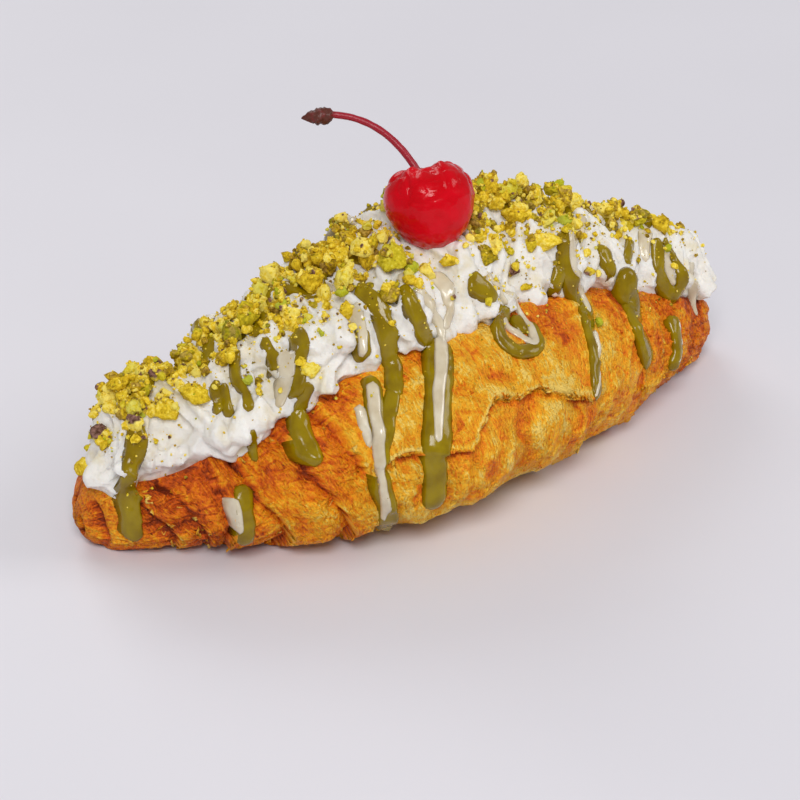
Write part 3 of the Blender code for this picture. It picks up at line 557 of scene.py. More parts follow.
def new_piece(name, points, faces, material=None, smooth_shading=True):
    mesh = bpy.data.meshes.new(name)
    mesh.from_pydata(np.asarray(points).tolist(), [], [tuple(face) for face in faces])
    obj = bpy.data.objects.new(name, mesh)
    bpy.context.scene.collection.objects.link(obj)
    face_outwards(obj)
    mesh.polygons.foreach_set("use_smooth", [smooth_shading] * len(mesh.polygons))
    if material:
        mesh.materials.append(material)
    return obj


def face_outwards(obj):
    mesh = bmesh.new()
    mesh.from_mesh(obj.data)
    bmesh.ops.recalc_face_normals(mesh, faces=mesh.faces)
    mesh.to_mesh(obj.data)
    mesh.free()


def add_value(obj, name, values):
    """Stores a number, or a triple of them, for each vertex, for the materials."""
    values = np.asarray(values, np.float32)
    kind, key = ("FLOAT", "value") if values.ndim == 1 else ("FLOAT_VECTOR", "vector")
    attribute = obj.data.attributes.new(name, kind, "POINT")
    attribute.data.foreach_set(key, values.ravel())


class Surfaces:
    """The surfaces of several pieces, for rays."""

    def __init__(self, *pieces):
        self.trees = [self.tree_of(piece) for piece in pieces]

    @staticmethod
    def tree_of(piece):
        mesh = bmesh.new()
        mesh.from_mesh(piece.data)
        tree = BVHTree.FromBMesh(mesh)
        mesh.free()
        return tree

    def add(self, piece):
        self.trees.append(self.tree_of(piece))

    def hit(self, start, direction):
        """The nearest place along a ray and the surface's direction there, or None."""
        hits = [tree.ray_cast(start, direction) for tree in self.trees]
        hits = [hit for hit in hits if hit[0]]
        return min(hits, key=lambda hit: hit[3])[:2] if hits else None

    def land(self, x, around):
        """Where the surface lies at a place, seen from outside."""
        middle, direction = axis_point(x), outward(around)
        return self.hit(Vector(middle + direction * REACH), Vector(-direction))

    def seen_at(self, pixel):
        """What the photo shows at a pixel."""
        right, up, back = view_axes()
        focal = LENS / SENSOR * PHOTO_SIZE
        half = PHOTO_SIZE / 2
        ray = right * (pixel[0] - half) - up * (pixel[1] - half) - back * focal
        return self.hit(VIEW_TARGET + back * VIEW_DISTANCE, ray.normalized())


def coordinates(obj):
    flat = np.empty(len(obj.data.vertices) * 3, np.float32)
    obj.data.vertices.foreach_get("co", flat)
    return flat.reshape(-1, 3).astype(float)


def normals(obj):
    flat = np.empty(len(obj.data.vertices) * 3, np.float32)
    obj.data.vertex_normals.foreach_get("vector", flat)
    return flat.reshape(-1, 3).astype(float)


# -------------------------------------------------------------------- materials


class Paint:
    """A Principled material and short ways to add nodes to it."""

    def __init__(self, name, **settings):
        self.material = bpy.data.materials.new(name)
        self.material.use_nodes = True
        self.tree = self.material.node_tree
        self.shader = self.tree.nodes["Principled BSDF"]
        for key, value in settings.items():
            self.shader.inputs[key.replace("_", " ")].default_value = value

    def node(self, kind, links=(), **inputs):
        node = self.tree.nodes.new("ShaderNode" + kind)
        for key, value in inputs.items():
            if hasattr(node, key):
                setattr(node, key, value)
            else:
                node.inputs[key.replace("_", " ")].default_value = value
        for key, output in dict(links).items():
            self.tree.links.new(output, node.inputs[key])
        return node

    def attribute(self, name, output="Fac"):
        return self.node("Attribute", attribute_name=name).outputs[output]

    def noise(self, scale, detail=3, vector=None, roughness=0.5):
        links = {"Vector": vector or self.place()}
        made = self.node("TexNoise", links, Scale=scale, Detail=detail, Roughness=roughness)
        return made.outputs["Fac"]

    def place(self):
        return self.node("TexCoord").outputs["Object"]

    def stretched(self, vector, scale):
        return self.node("Mapping", {"Vector": vector}, Scale=scale).outputs["Vector"]

    def math(self, operation, a, b=0.0, clamp=False):
        node = self.node("Math", operation=operation, use_clamp=clamp)
        for socket, value in zip(node.inputs, (a, b)):
            if isinstance(value, (int, float)):
                socket.default_value = value
            else:
                self.tree.links.new(value, socket)
        return node.outputs[0]

    def strewn(self, value, *layers, clamp=False):
        """A value with textures on it, each counted as far as it is off its mean, times a share."""
        for texture, share in layers:
            off = self.math("MULTIPLY", self.math("SUBTRACT", texture, 0.5), share)
            value = self.math("ADD", value, off, clamp)
        return value

    def ramp(self, factor, *stops):
        """Colours or greys by a value: stops are (place, colour or grey)."""
        node = self.node("ValToRGB", {"Fac": factor})
        while len(node.color_ramp.elements) < len(stops):
            node.color_ramp.elements.new(1.0)
        for element, (place, colour) in zip(node.color_ramp.elements, stops):
            element.position = place
            element.color[:3] = colour if isinstance(colour, tuple) else (colour,) * 3
        return node.outputs["Color"]

    def mix(self, factor, a, b, blend="MIX"):
        node = self.node("Mix", data_type="RGBA", blend_type=blend)
        for index, value in zip(MIX_SOCKETS, (factor, a, b)):
            if isinstance(value, (int, float)):
                node.inputs[index].default_value = value
            elif isinstance(value, tuple):
                node.inputs[index].default_value = (*value, 1)
            else:
                self.tree.links.new(value, node.inputs[index])
        return node.outputs[2]

    def bump(self, height, distance, strength=1.0, base=None):
        links = {"Height": height}
        if base is not None:
            links["Normal"] = base
        return self.node("Bump", links, Strength=strength, Distance=distance).outputs["Normal"]

    def soften(self, scale, radius):
        """Light spreads this far inside, by colour."""
        self.shader.inputs["Subsurface Scale"].default_value = scale
        self.shader.inputs["Subsurface Radius"].default_value = radius

    def set(self, socket, output):
        self.tree.links.new(output, self.shader.inputs[socket])

    def mottle(self, socket, texture, *stops):
        """Lets a socket's value or colour wander with a texture."""
        self.set(socket, self.ramp(texture, *stops))

    def roughen(self, *layers):
        """Bumps on bumps, each given as a noise's scale, its detail and the height in metres."""
        normal = None
        for scale, detail, height in layers:
            normal = self.bump(self.noise(scale, detail), height, 1.0, normal)
        self.set("Normal", normal)


def crust_material():
    paint = Paint("baked_dough", Specular_IOR_Level=0.25)
    dough = paint.attribute("dough", "Vector")
    fibres = paint.noise(1.0, 3, paint.stretched(dough, (2.6, 0.34, 1)), 0.6)
    patches = paint.noise(230, 5, roughness=0.65)
    pores = paint.noise(1500, 3)
    # browning, with painted shade in the valleys, at the foot of the sheets' steps and between the crests
    bake_and_shade = paint.strewn(paint.attribute("bake_and_shade"), (patches, 0.75), (pores, 0.42), (fibres, 0.95))
    paint.mottle(
        "Base Color",
        paint.math("ADD", bake_and_shade, 0, True),
        (0.0, (0.97, 0.66, 0.14)),
        (0.12, (0.97, 0.53, 0.030)),
        (0.30, (0.95, 0.385, 0.008)),
        (0.50, (0.87, 0.225, 0.003)),
        (0.72, (0.64, 0.095, 0.002)),
        (1.0, (0.22, 0.026, 0.002)),
    )
    paint.mottle("Roughness", patches, (0.35, 0.34), (0.65, 0.58))
    fine = paint.bump(fibres, 0.0008)
    paint.set("Normal", paint.bump(pores, 0.0008, 1.0, fine))
    return paint.material


def cream_material():
    paint = Paint("whipped_cream", Roughness=0.45, Specular_IOR_Level=0.3, Subsurface_Weight=0.3)
    paint.soften(0.003, (1.0, 0.85, 0.7))
    stained, plain, bright = (0.77, 0.70, 0.54), (0.82, 0.785, 0.72), (0.87, 0.845, 0.80)
    paint.mottle("Base Color", paint.noise(150, 4), (0.36, stained), (0.47, plain), (0.70, bright))
    paint.roughen((900, 4, 0.0003), (3200, 2, 0.00012))
    return paint.material


def green_material():
    paint = Paint("pistachio_sauce", Coat_Weight=0.24, Coat_Roughness=0.03, Specular_IOR_Level=0.2)
    dark, light = (0.20, 0.125, 0.0), (0.30, 0.21, 0.001)
    paint.mottle("Base Color", paint.noise(260, 3), (0.3, dark), (0.7, light))
    paint.mottle("Roughness", paint.noise(420, 2), (0.3, 0.10), (0.7, 0.18))
    paint.roughen((1400, 2, 0.00005))
    return paint.material


def white_material():
    paint = Paint("white_sauce", Coat_Weight=0.5, Coat_Roughness=0.08, Subsurface_Weight=0.2)
    paint.soften(0.002, (1.0, 0.85, 0.6))
    dark, light = (0.57, 0.47, 0.31), (0.74, 0.66, 0.50)
    paint.mottle("Base Color", paint.noise(240, 3), (0.3, dark), (0.7, light))
    paint.mottle("Roughness", paint.noise(420, 2), (0.3, 0.14), (0.7, 0.28))
    paint.roughen((1200, 2, 0.00004))
    return paint.material


def nut_material():
    paint = Paint("pistachio", Roughness=0.65, Specular_IOR_Level=0.1)
    speckle = paint.noise(1500, 3)
    tone = paint.strewn(paint.attribute("tone"), (speckle, 1.3), clamp=True)
    kernel = paint.ramp(
        tone,
        (0.0, (0.14, 0.085, 0.006)),
        (0.3, (0.40, 0.25, 0.008)),
        (0.55, (0.70, 0.47, 0.016)),
        (0.8, (0.88, 0.64, 0.04)),
        (1.0, (0.95, 0.78, 0.16)),
    )
    lime = paint.mix(paint.attribute("lime"), kernel, (0.34, 0.42, 0.012))
    skin = paint.ramp(speckle, (0.35, (0.085, 0.035, 0.02)), (0.65, (0.32, 0.17, 0.13)))
    paint.set("Base Color", paint.mix(paint.attribute("skin"), lime, skin))
    paint.roughen((1100, 3, 0.0003), (4200, 2, 0.00015))
    return paint.material


def cherry_material():
    paint = Paint("candied_cherry", Coat_Weight=0.22, Coat_Roughness=0.05, Specular_IOR_Level=0.08)
    dark, light = (0.50, 0.0, 0.003), (0.66, 0.0, 0.009)
    paint.mottle("Base Color", paint.noise(150, 3), (0.3, dark), (0.7, light))
    paint.mottle("Roughness", paint.noise(300, 2), (0.35, 0.14), (0.65, 0.26))
    paint.roughen((420, 3, 0.0002))
    return paint.material


def stem_material():
    gloss = {"Coat_Weight": 0.15, "Coat_Roughness": 0.15, "Specular_IOR_Level": 0.3}
    paint = Paint("cherry_stalk", Roughness=0.4, **gloss)
    grain = paint.math("SUBTRACT", paint.noise(900, 3), 0.5)
    woody = paint.math("ADD", paint.attribute("woody"), grain, True)
    red, ruddy, brown = (0.33, 0.006, 0.020), (0.24, 0.010, 0.016), (0.10, 0.022, 0.012)
    paint.mottle("Base Color", woody, (0.0, red), (0.55, ruddy), (1.0, brown))
    paint.roughen((2200, 2, 0.00015))
    return paint.material


def floor_material():
    paint = Paint("floor", Roughness=0.55)
    dark, light = (0.73, 0.715, 0.76), (0.75, 0.735, 0.78)
    paint.mottle("Base Color", paint.noise(9, 2), (0.3, dark), (0.7, light))
    return paint.material


# ------------------------------------------------------------------ pastry form


def fullness(x, taper):
    t = np.clip(x / (LENGTH / 2), -1, 1)
    left = t < WIDEST
    reach = np.where(left, (WIDEST - t) / (1 + WIDEST), (t - WIDEST) / (1 - WIDEST))
    return 1 - np.clip(reach, 0, 1) ** np.where(left, taper[0], taper[1])


def section(x):
    """Centre in Y, half widths to the front and back, and height of the body at x."""
    t = np.clip(x / (LENGTH / 2), -1, 1)
    front = TIP_HALF_WIDTH + (FRONT_HALF_WIDTH - TIP_HALF_WIDTH) * fullness(x, FRONT_TAPER)
    back = TIP_HALF_WIDTH + (BACK_HALF_WIDTH - TIP_HALF_WIDTH) * fullness(x, BACK_TAPER)
    height = TIP_HEIGHT + (BODY_HEIGHT - TIP_HEIGHT) * fullness(x, HEIGHT_TAPER)
    return AXIS_SHIFT - BOW * (1 - t * t), front, back, height


def slant_at(u):
    ends = [(-LENGTH / 2 / MM, 0.0), (LENGTH / 2 / MM, 0.0)]
    edges = [edge[:2] for edge in LEFT_EDGES + RIGHT_EDGES]
    return along_table(u, sorted(ends + edges + list(FOLDS))) * MM


def wraps(u):
    """Each place's wrap: its relief, how far inside its edge it is, how far from the next wrap's
    edge, and how brown its rim is."""
    raised, brown = np.zeros_like(u), np.zeros_like(u)
    since, until = np.full_like(u, LAST_RUN), np.full_like(u, LAST_RUN)
    for edges, side in ((LEFT_EDGES, 1), (RIGHT_EDGES[::-1], -1)):
        for i, (place, _, step, rim) in enumerate(edges):
            innermost = i == len(edges) - 1
            run = LAST_RUN if innermost else side * (edges[i + 1][0] - place) * MM
            along = side * (u - place * MM) / run
            sunk = 0 if innermost else EDGE_SUNK
            proud = step * MM * (EDGE_PROUD - (EDGE_PROUD + sunk) * along.clip(0, 1) ** EDGE_FALL)
            inside = (along > 0) & (along < 1)
            raised = np.where(inside, proud, raised)
            since = np.where(inside, along * run, since)
            brown = np.where(inside, rim, brown)
            if not innermost:
                until = np.where(inside, (1 - along) * run, until)
    return raised, since, until, brown


def seam_share(u, around):
    """1 along the front's seam, 0 past its ends and on the other sides."""
    inside = smooth((u - SEAM[0][0] * MM) / SEAM_ENDS) * smooth((SEAM[-1][0] * MM - u) / SEAM_ENDS)
    return inside * (np.abs(around) < SEAM_SIDES)


def seam_relief(u, around):
    above = around - along_table(u, SEAM)
    flap = np.where(above > 0, fade(above, *SEAM_ABOVE), -fade(-above, *SEAM_BELOW))
    raised = SEAM_STEP * flap
    (deep, sharp), (beside, far, soft) = FOLD_CREASE, FOLD_BANK
    for place, _ in FOLDS:
        off = np.abs(u - place * MM) / FOLD_WIDTH
        crease = deep * np.exp(-off * sharp) + beside * smooth(far - off / soft)
        raised = raised - FOLD_DEPTH * crease * smooth(-above / FOLD_TOP)
    return raised * seam_share(u, around)


def lumps(points):
    unshifted = points - (0, AXIS_SHIFT, 0)
    return LUMPS * np.array([noise.noise(Vector(place)) for place in unshifted / LUMP_SPACING])


def plain_point(u, around, raised=0.0):
    angle = np.radians(around)
    x = u - slant_at(u) * np.sin(angle)
    centre, front, back, height = section(x)
    end = np.clip((np.abs(x) - (LENGTH / 2 - END_ROUND)) / END_ROUND, 0, 1)
    close = np.sqrt(np.clip(1 - end**2, TIP_GIRTH**2, 1))
    across, up = np.cos(angle), np.sin(angle)
    reach = np.where(across > 0, front, back) * close + raised * close
    tall = np.where(up > 0, RISE, UNDERSIDE) * height * close + raised * close
    y = centre - reach * across
    z = np.maximum(MIDLINE * height + tall * up, 0)
    return np.stack([x, y, z], -1)


def slit_lips(u):
    """The angles of the slit's front and back lips, which tore a little unevenly."""
    torn = rumples(np.stack([u, 0 * u, 0 * u], -1), LIP_TEARS)
    return along_table(u, SLIT_FRONT) + torn, along_table(u, SLIT_BACK) - torn


def slit_share(u, around):
    """0 inside the slit, rising to 1 past its lips."""
    turned = np.where(around < -90, around + 360, around)
    front, back = slit_lips(u)
    return smooth(np.maximum(front - turned, turned - back) / SLIT_LIP)


# ---------------------------------------------------------------------- crust


def crust_rings():
    turn = np.sin(np.linspace(0, math.pi / 2, END_RINGS))
    ends = LENGTH / 2 - END_ROUND * (1 - turn)
    straight = LENGTH / 2 - END_ROUND
    middle = np.arange(-straight, straight, RING_PITCH)[1:]
    return np.concatenate([-ends[::-1], middle, ends])


def crust_rows(u):
    """Angles round each ring: down the front, on both sides of the seam, and up the back."""
    seam = along_table(u, SEAM)[:, None]
    front, back = (lip[:, None] for lip in slit_lips(u))
    back = back - 360
    above, below = seam + SEAM_ROWS_GAP, seam - SEAM_ROWS_GAP
    upper = front + (above - front) * np.linspace(0, 1, FRONT_ROWS[0])
    lower = below + (-90 - below) * np.linspace(0, 1, FRONT_ROWS[1])
    behind = -90 + (back + 90) * np.linspace(0, 1, BACK_ROWS + 1)[1:]
    return np.concatenate([upper, lower, behind], axis=1)


def closing(u):
    """How far each tip has closed: 1 on the body, 0 at the very end."""
    end = np.clip((np.abs(u) - (LENGTH / 2 - END_ROUND)) / END_ROUND, 0, 1)
    return np.sqrt(1 - end**2)


def spiral(u, around):
    """The rolled dough's spiral on each tip, from 0 to 1 in its groove."""
    close = closing(u)
    turns = SPIRAL_TURNS * close + np.radians(around) / math.tau
    rim, soft = SPIRAL_RIM
    return bell(turns % 1, 0.5, SPIRAL_GROOVE) * smooth((rim - close) / soft)


def terraces(field, steps, edge):
    """A smooth field turned into flat sheets with steep edges."""
    scaled = field * steps
    level = np.floor(scaled)
    return (level + smooth((scaled - level - 1 + edge) / edge)) / steps


def warped(points):
    far, size = CREST_WARP
    return points + far * np.stack([rumple(points + apart * size, size) for apart in WARP_APART], -1)


def crests(points):
    """Noise with sharp crests and round hollows between them."""
    total = 0
    for height, size, long in CRESTS:
        total = total + height * (CREST_LEVEL - np.abs(rumple(points * (1, long, 1), size)))
    return total


def layers(u, plain, wobble, rims):
    """The edges of the dough's thin layers, which show where a wrap ends and the next one begins."""
    _, since, until, _ = rims
    waves, size = LAYER_WAVES
    leaf = ((u + WOBBLE_SHARES[0] * wobble) / LAYER_PITCH + waves * rumple(plain, size)) % 1
    seen = LAYER_ELSEWHERE + fade(since, 1, LAYER_FADES[0]) + fade(until, 1, LAYER_FADES[1])
    unbroken = smooth(rumple(plain, LAYER_BREAKS[0]) + LAYER_BREAKS[1])
    return LAYER_HEIGHT * (leaf ** LAYER_RISE[0] - LAYER_RISE[1]) * seen * unbroken


def crust_relief(u, around, plain, wobble, rims):
    """How far the crust stands out of the plain body, its sheets and its crests."""
    raised = rims[0] - fade(rims[2], VALLEY_DEPTH, VALLEY_WIDTH)
    raised += seam_relief(u, around + wobble / MM * WOBBLE_SHARES[1]) + lumps(plain) + rumples(plain, DENTS)
    raised += layers(u, plain, wobble, rims)
    dough = np.stack([u + wobble, np.radians(around) * ARC, 0 * u], -1)
    sheets = sum(share * rumple(dough * (1, long, 1), size) for long, size, share in SHEETS)
    raised += SHEET_HEIGHT * terraces(sheets, SHEET_STEPS, SHEET_EDGE)
    crest = crests(warped(dough))
    return raised + crest, sheets, crest


def ring_values(outside, inside):
    """The values of the crust's rows, and after them those inside the slit, ring by ring."""
    return np.concatenate([outside.reshape(len(inside), -1, *inside.shape[2:]), inside], axis=1)


def build_crust():
    rings = crust_rings()
    angles = crust_rows(rings)
    u = np.repeat(rings, angles.shape[1])
    around = angles.ravel()
    plain = plain_point(u, around)
    wobble = rumples(plain, EDGE_WOBBLE)
    rims = wraps(u + wobble)
    raised, sheets, crest = crust_relief(u, around, plain, wobble, rims)
    least, low, rise = UNDER_RELIEF
    shown = least + (1 - least) * smooth((np.sin(np.radians(around)) + low) / rise)
    points = plain_point(u, around, raised * slit_share(u, around) * shown)
    groove = spiral(u, around)
    points[:, 0] -= np.sign(u) * SPIRAL_DEPTH * groove
    inner, inner_around = slit_points(rings)
    crust = new_piece("crust", *tubes([ring_values(points, inner)]), crust_material())

    # browning, with painted shade in the valleys, at the foot of the sheets' steps and between the crests
    tone = crust_bake_and_shade(u, around, points, rims, sheets, crest) + BAKE_SPIRAL * groove
    tone += baked_spots(Surfaces(crust), points)
    add_value(crust, "bake_and_shade", ring_values(tone, np.full_like(inner_around, BAKE_INSIDE)).ravel())
    along = ring_values(u + wobble, np.repeat(rings, SLIT_ROWS).reshape(inner_around.shape)).ravel()
    across = np.radians(ring_values(around, inner_around).ravel()) * ARC
    add_value(crust, "dough", np.stack([along, across, 0 * along], -1) / MM)
    return crust


def slit_points(rings):
    """The slit's inside, from its back lip to its front one, and its angles."""
    across = np.linspace(0, 1, SLIT_ROWS + 2)[1:-1]
    front, back = (lip[:, None] for lip in slit_lips(rings))
    around = back + (front - back) * across
    points = plain_point(np.repeat(rings, SLIT_ROWS), around.ravel())
    inward = np.minimum(points[:, 0] - SLIT_ENDS[0], SLIT_ENDS[1] - points[:, 0])
    hollow = np.sin(np.pi * np.tile(across, len(rings))) ** 0.5
    points[:, 2] -= SLIT_DEPTH * smooth(inward / SLIT_RUN_OUT) * hollow
    return points.reshape(len(rings), SLIT_ROWS, 3), around


def crust_bake_and_shade(u, around, points, rims, sheets, crest):
    """How brown the crust is: yellow where the dough stretched, dark at rims, tips and by the slit, with
    painted shade in the valleys, at the foot of the sheets' steps and between the crests.
    """
    _, since, until, brown = rims
    middle, half, far = BAKE_PALE
    tips = smooth((np.abs(points[:, 0] - middle) - half) / far)
    tone = BAKE_PLAIN + np.where(u < 0, *BAKE_TIPS) * tips
    tone += brown * sum(fade(since, *rim) for rim in BAKE_RIMS)
    # a paler thin torn edge, and painted shade in the valley before the next wrap's edge
    tone += fade(since, *BAKE_TORN) + fade(until, *VALLEY_SHADE)
    lip, under = BAKE_LIP, BAKE_UNDER
    tone += lip[0] * smooth((around - lip[1]) / lip[2]) * (around > -90) * (BAKE_LIP_LEAST + tips)
    tone += under[0] * smooth((-around - under[1]) / under[2])
    # painted shade at the foot of each sheet's step, and a paler thin edge on its top
    tone += sum(amount * bell(sheets * SHEET_STEPS % 1, *where) for amount, *where in SHEET_SHADE_AND_EDGES)
    above = around - along_table(u, SEAM)
    tone += sum(amount * bell(above, *where) for amount, *where in BAKE_SEAM) * seam_share(u, around)
    # painted shade: darker in the hollows between the crests, paler on their tops
    return tone + CREST_SHADE * crest + rumples(points, BAKE_CLOUDS)


def baked_spots(surfaces, points):
    tone = np.zeros(len(points))
    for *pixel, radius, amount in BAKED_SPOTS:
        away = np.linalg.norm(points - np.array(surfaces.seen_at(pixel)[0]), axis=1)
        tone += amount * bell(away, 0, radius * MM)
    return tone


def build_flakes(crust, surfaces):
    """Thin shards of dough that stand off the wraps' edges and the seam, where the crust is bare."""
    bare = Surfaces(crust)
    rng = np.random.default_rng(FLAKE_SEED)
    shards, tones = [], []
    while len(shards) < FLAKES:
        u, around = flake_place(rng)
        place = place_of(plain_point(np.array([u * MM]), np.array([around]))[0])
        spot, normal = bare.land(*place)
        covered = (surfaces.land(*place)[0] - spot).length > FLAKE_CLEARANCE
        if covered or spot.y < CAD_BOX[0][1] + FLAKE_MARGIN:
            continue
        shards.append(flake_points(np.array(spot), np.array(normal), around, rng))
        tones.append(np.full(shards[-1].size // 3, rng.uniform(*FLAKE_TONES)))
    points, faces = tubes(shards)
    flakes = new_piece("flakes", points, faces, crust.data.materials[0])
    add_value(flakes, "bake_and_shade", np.concatenate(tones))
    add_value(flakes, "dough", points / MM)
    return flakes


def flake_place(rng):
    """A place by the seam or by a wrap's edge, in front or behind: its X in millimetres, its angle."""
    edges = [edge[0] for edge in LEFT_EDGES + RIGHT_EDGES if edge[2] > FLAKE_STEPS]
    if rng.random() < FLAKES_AT_SEAM:
        u = rng.uniform(SEAM[0][0], SEAM[-1][0])
        return u, float(along_table(u * MM, SEAM)) + rng.normal(0, FLAKE_SPREAD[0])
    u = edges[rng.integers(len(edges))] + rng.normal(0, FLAKE_SPREAD[1])
    return u, rng.uniform(*FLAKE_SIDES[0 if rng.random() < FLAKES_IN_FRONT else 1])


def flake_points(spot, normal, around, rng):
    """A curled shard, as rings of points: along it, its top and then its underside."""
    ranges = (FLAKE_LENGTH, FLAKE_WIDTH, FLAKE_THICKNESS)
    length, width, thick = (rng.uniform(*sizes) * MM for sizes in ranges)
    a = math.radians(around)
    along = np.array([0, math.sin(a), math.cos(a)]) + FLAKE_STRAY * rng.normal(size=3)
    along = unit(along - normal * along.dot(normal))
    across = np.cross(normal, along)
    lift, bow = rng.uniform(*FLAKE_LIFT), rng.uniform(*FLAKE_BOW)
    t = np.linspace(-1, 1, FLAKE_GRID[0])[:, None]
    s = np.linspace(0, 1, FLAKE_GRID[1])[None, :]
    narrow, power, torn = FLAKE_POINTED
    ragged = 1 - narrow * np.abs(t) ** power + torn * rng.normal(size=t.shape)
    reach = width * s * np.clip(ragged, *FLAKE_REACH)
    rise = lift * width * s**2 + bow * length * (1 - t**2) * 0.5 * s - FLAKE_SUNK
    top = spot + along * (0.5 * length * t)[:, :, None]
    top = top + across * reach[:, :, None] + normal * rise[:, :, None]
    top[:, :, 2] = np.maximum(top[:, :, 2], FLAKE_FLOOR)
    return np.concatenate([top, (top - normal * thick)[:, ::-1]], axis=1)


# ---------------------------------------------------------------------- cream


def pastry_height(x, y):
    centre, front, back, height = section(x)
    off = (y - centre) / np.where(y < centre, front, back)
    return float(MIDLINE * height + RISE * height * np.sqrt(np.clip(1 - off * off, 0, 1)))


def mound(x):
    """Feet and ridge of the cream at x in Y, and the ridge's height."""
    front, ridge, back, top = (float(along_table(x, MOUND, column)) * MM for column in (1, 2, 3, 4))
    return front + AXIS_SHIFT, ridge + AXIS_SHIFT, back + AXIS_SHIFT, top


def mound_point(x, around, inset=0.0, droop=0.0):
    front, ridge, back, top = mound(x)
    foot = front + inset if around < 90 else back - inset
    base = pastry_height(x, foot) + FOOT_SINK * inset - droop
    a = math.radians(around)
    y = ridge + (foot - ridge) * abs(math.cos(a))
    return np.array([x, y, base + (top - inset - base) * max(math.sin(a), 0) ** PEAK])


def rope_radius(x):
    front, _, back, _ = mound(x)
    return ROPE_RADIUS + ROPE_GROWTH * (back - front)


def rope_centre(turn, along):
    share = along + TURN_SPREAD * math.sin(2 * math.pi * along)
    x = (TURNS[turn] + (TURNS[turn + 1] - TURNS[turn]) * share) * MM
    around = 180 * (along if turn % 2 == 0 else 1 - along)
    droop = (DROOPS[turn] * (1 - along) + DROOPS[turn + 1] * along) * MM
    return mound_point(x, around, rope_radius(x), droop)


def carried_frames(centres):
    """Two directions square to a line at each of its points, carried along without a twist."""
    tangents = np.gradient(centres, axis=0)
    tangents /= np.linalg.norm(tangents, axis=1)[:, None]
    side = np.cross(tangents[0], (0, 0, 1))
    if np.linalg.norm(side) < 1e-3:
        side = np.array([1.0, 0, 0])
    sides, ups = [], []
    for tangent in tangents:
        side = unit(side - tangent * side.dot(tangent))
        sides.append(side)
        ups.append(np.cross(tangent, side))
    return np.array(sides), np.array(ups)


def swept(centres, radii, shape=1.0, turned=0.0, sides=ROPE_SIDES):
    """Points of a tube: its section's shape is a radius for each side, turned along the way."""
    across, up = carried_frames(centres)
    a = np.linspace(0, math.tau, sides, endpoint=False)[None, :] + np.reshape(turned, (-1, 1))
    reach = radii[:, None] * shape
    return (
        centres[:, None, :]
        + (reach * np.cos(a))[:, :, None] * across[:, None, :]
        + (reach * np.sin(a))[:, :, None] * up[:, None, :]
    )


def rounded_ends(centres, radii):
    """The line and its radii with a rounded end added past each of its own."""
    reach_power, least, girth_power = CAP_SHAPE
    cap = np.sin(np.linspace(0, math.pi / 2, CAP_STEPS + 1))[:-1]
    reach = ROPE_END * (1 - cap) ** reach_power
    first = centres[0] + unit(centres[0] - centres[1]) * (radii[0] * reach)[:, None]
    last = centres[-1] + unit(centres[-1] - centres[-2]) * (radii[-1] * reach[::-1])[:, None]
    girth = np.maximum(cap, least) ** girth_power
    radii = np.concatenate([radii[0] * girth, radii, radii[-1] * girth[::-1]])
    return np.concatenate([first, centres, last]), radii


def rope_points(turn):
    """One pass of the piping bag: fluted, slowly turning, with rounded ends."""
    alongs = 0.5 - 0.5 * np.cos(np.linspace(0, math.pi, ROPE_STEPS))
    centres = np.array([rope_centre(turn, along) for along in alongs])
    radii = np.array([rope_radius(centre[0]) for centre in centres])
    centres, radii = rounded_ends(centres, radii)
    a = np.linspace(0, math.tau, ROPE_SIDES, endpoint=False)
    flutes = 1 + RIDGE_DEPTH * (2 * np.abs(np.sin(ROPE_RIDGES * a / 2)) - FLUTE_LEVEL)
    return swept(centres, radii, flutes, np.linspace(0, ROPE_TWIST, len(centres)) + turn)


def core_points():
    """The middle of the mound, down into the slit."""
    rows = []
    for x in np.linspace(MOUND[0][0] + CORE_SHORT, MOUND[-1][0] - CORE_SHORT, CORE_GRID[0]) * MM:
        inset = CORE_INSET * rope_radius(x)
        row = [mound_point(x, around, inset) for around in np.linspace(0, 180, CORE_GRID[1])]
        front, back = row[0], row[-1]
        inward = min(x - SLIT_ENDS[0], SLIT_ENDS[1] - x)
        floor = min(front[2], back[2]) - SLIT_DEPTH * smooth(inward / SLIT_RUN_OUT)
        row += [np.array([x, front[1] + (back[1] - front[1]) * share, floor]) for share in CORE_FLOOR]
        rows.append(row)
    return np.array(rows)


def tubes(grids):
    """The points and faces of closed tubes, each given as a grid of points: rings along its length."""
    points, faces = [], []
    for grid in grids:
        rows, columns = grid.shape[:2]
        start = sum(map(len, points))
        faces += (grid_faces(rows, columns) + start).tolist()
        faces.append(range(start, start + columns))
        faces.append(range(start + (rows - 1) * columns, start + rows * columns))
        points.append(grid.reshape(-1, 3))
    return np.concatenate(points), faces


def leaf_points(foot, tip):
    """A pointed leaf of cream between two landings on the mound."""
    shares = np.linspace(0, 1, LEAF_STEPS)[:, None]
    (start, out), (end, _) = foot, tip
    stand = LEAF_STANDS[0] + (LEAF_STANDS[1] - LEAF_STANDS[0]) * shares
    centres = np.array(start) * (1 - shares) + np.array(end) * shares + np.array(out) * stand
    radii = LEAF_RADIUS * np.interp(shares[:, 0], *zip(*LEAF_PROFILE))
    a = np.linspace(0, math.tau, ROPE_SIDES, endpoint=False)
    return swept(centres, radii, 1 + RIDGE_DEPTH * np.abs(np.sin(LEAF_RIBS * a / 2)))


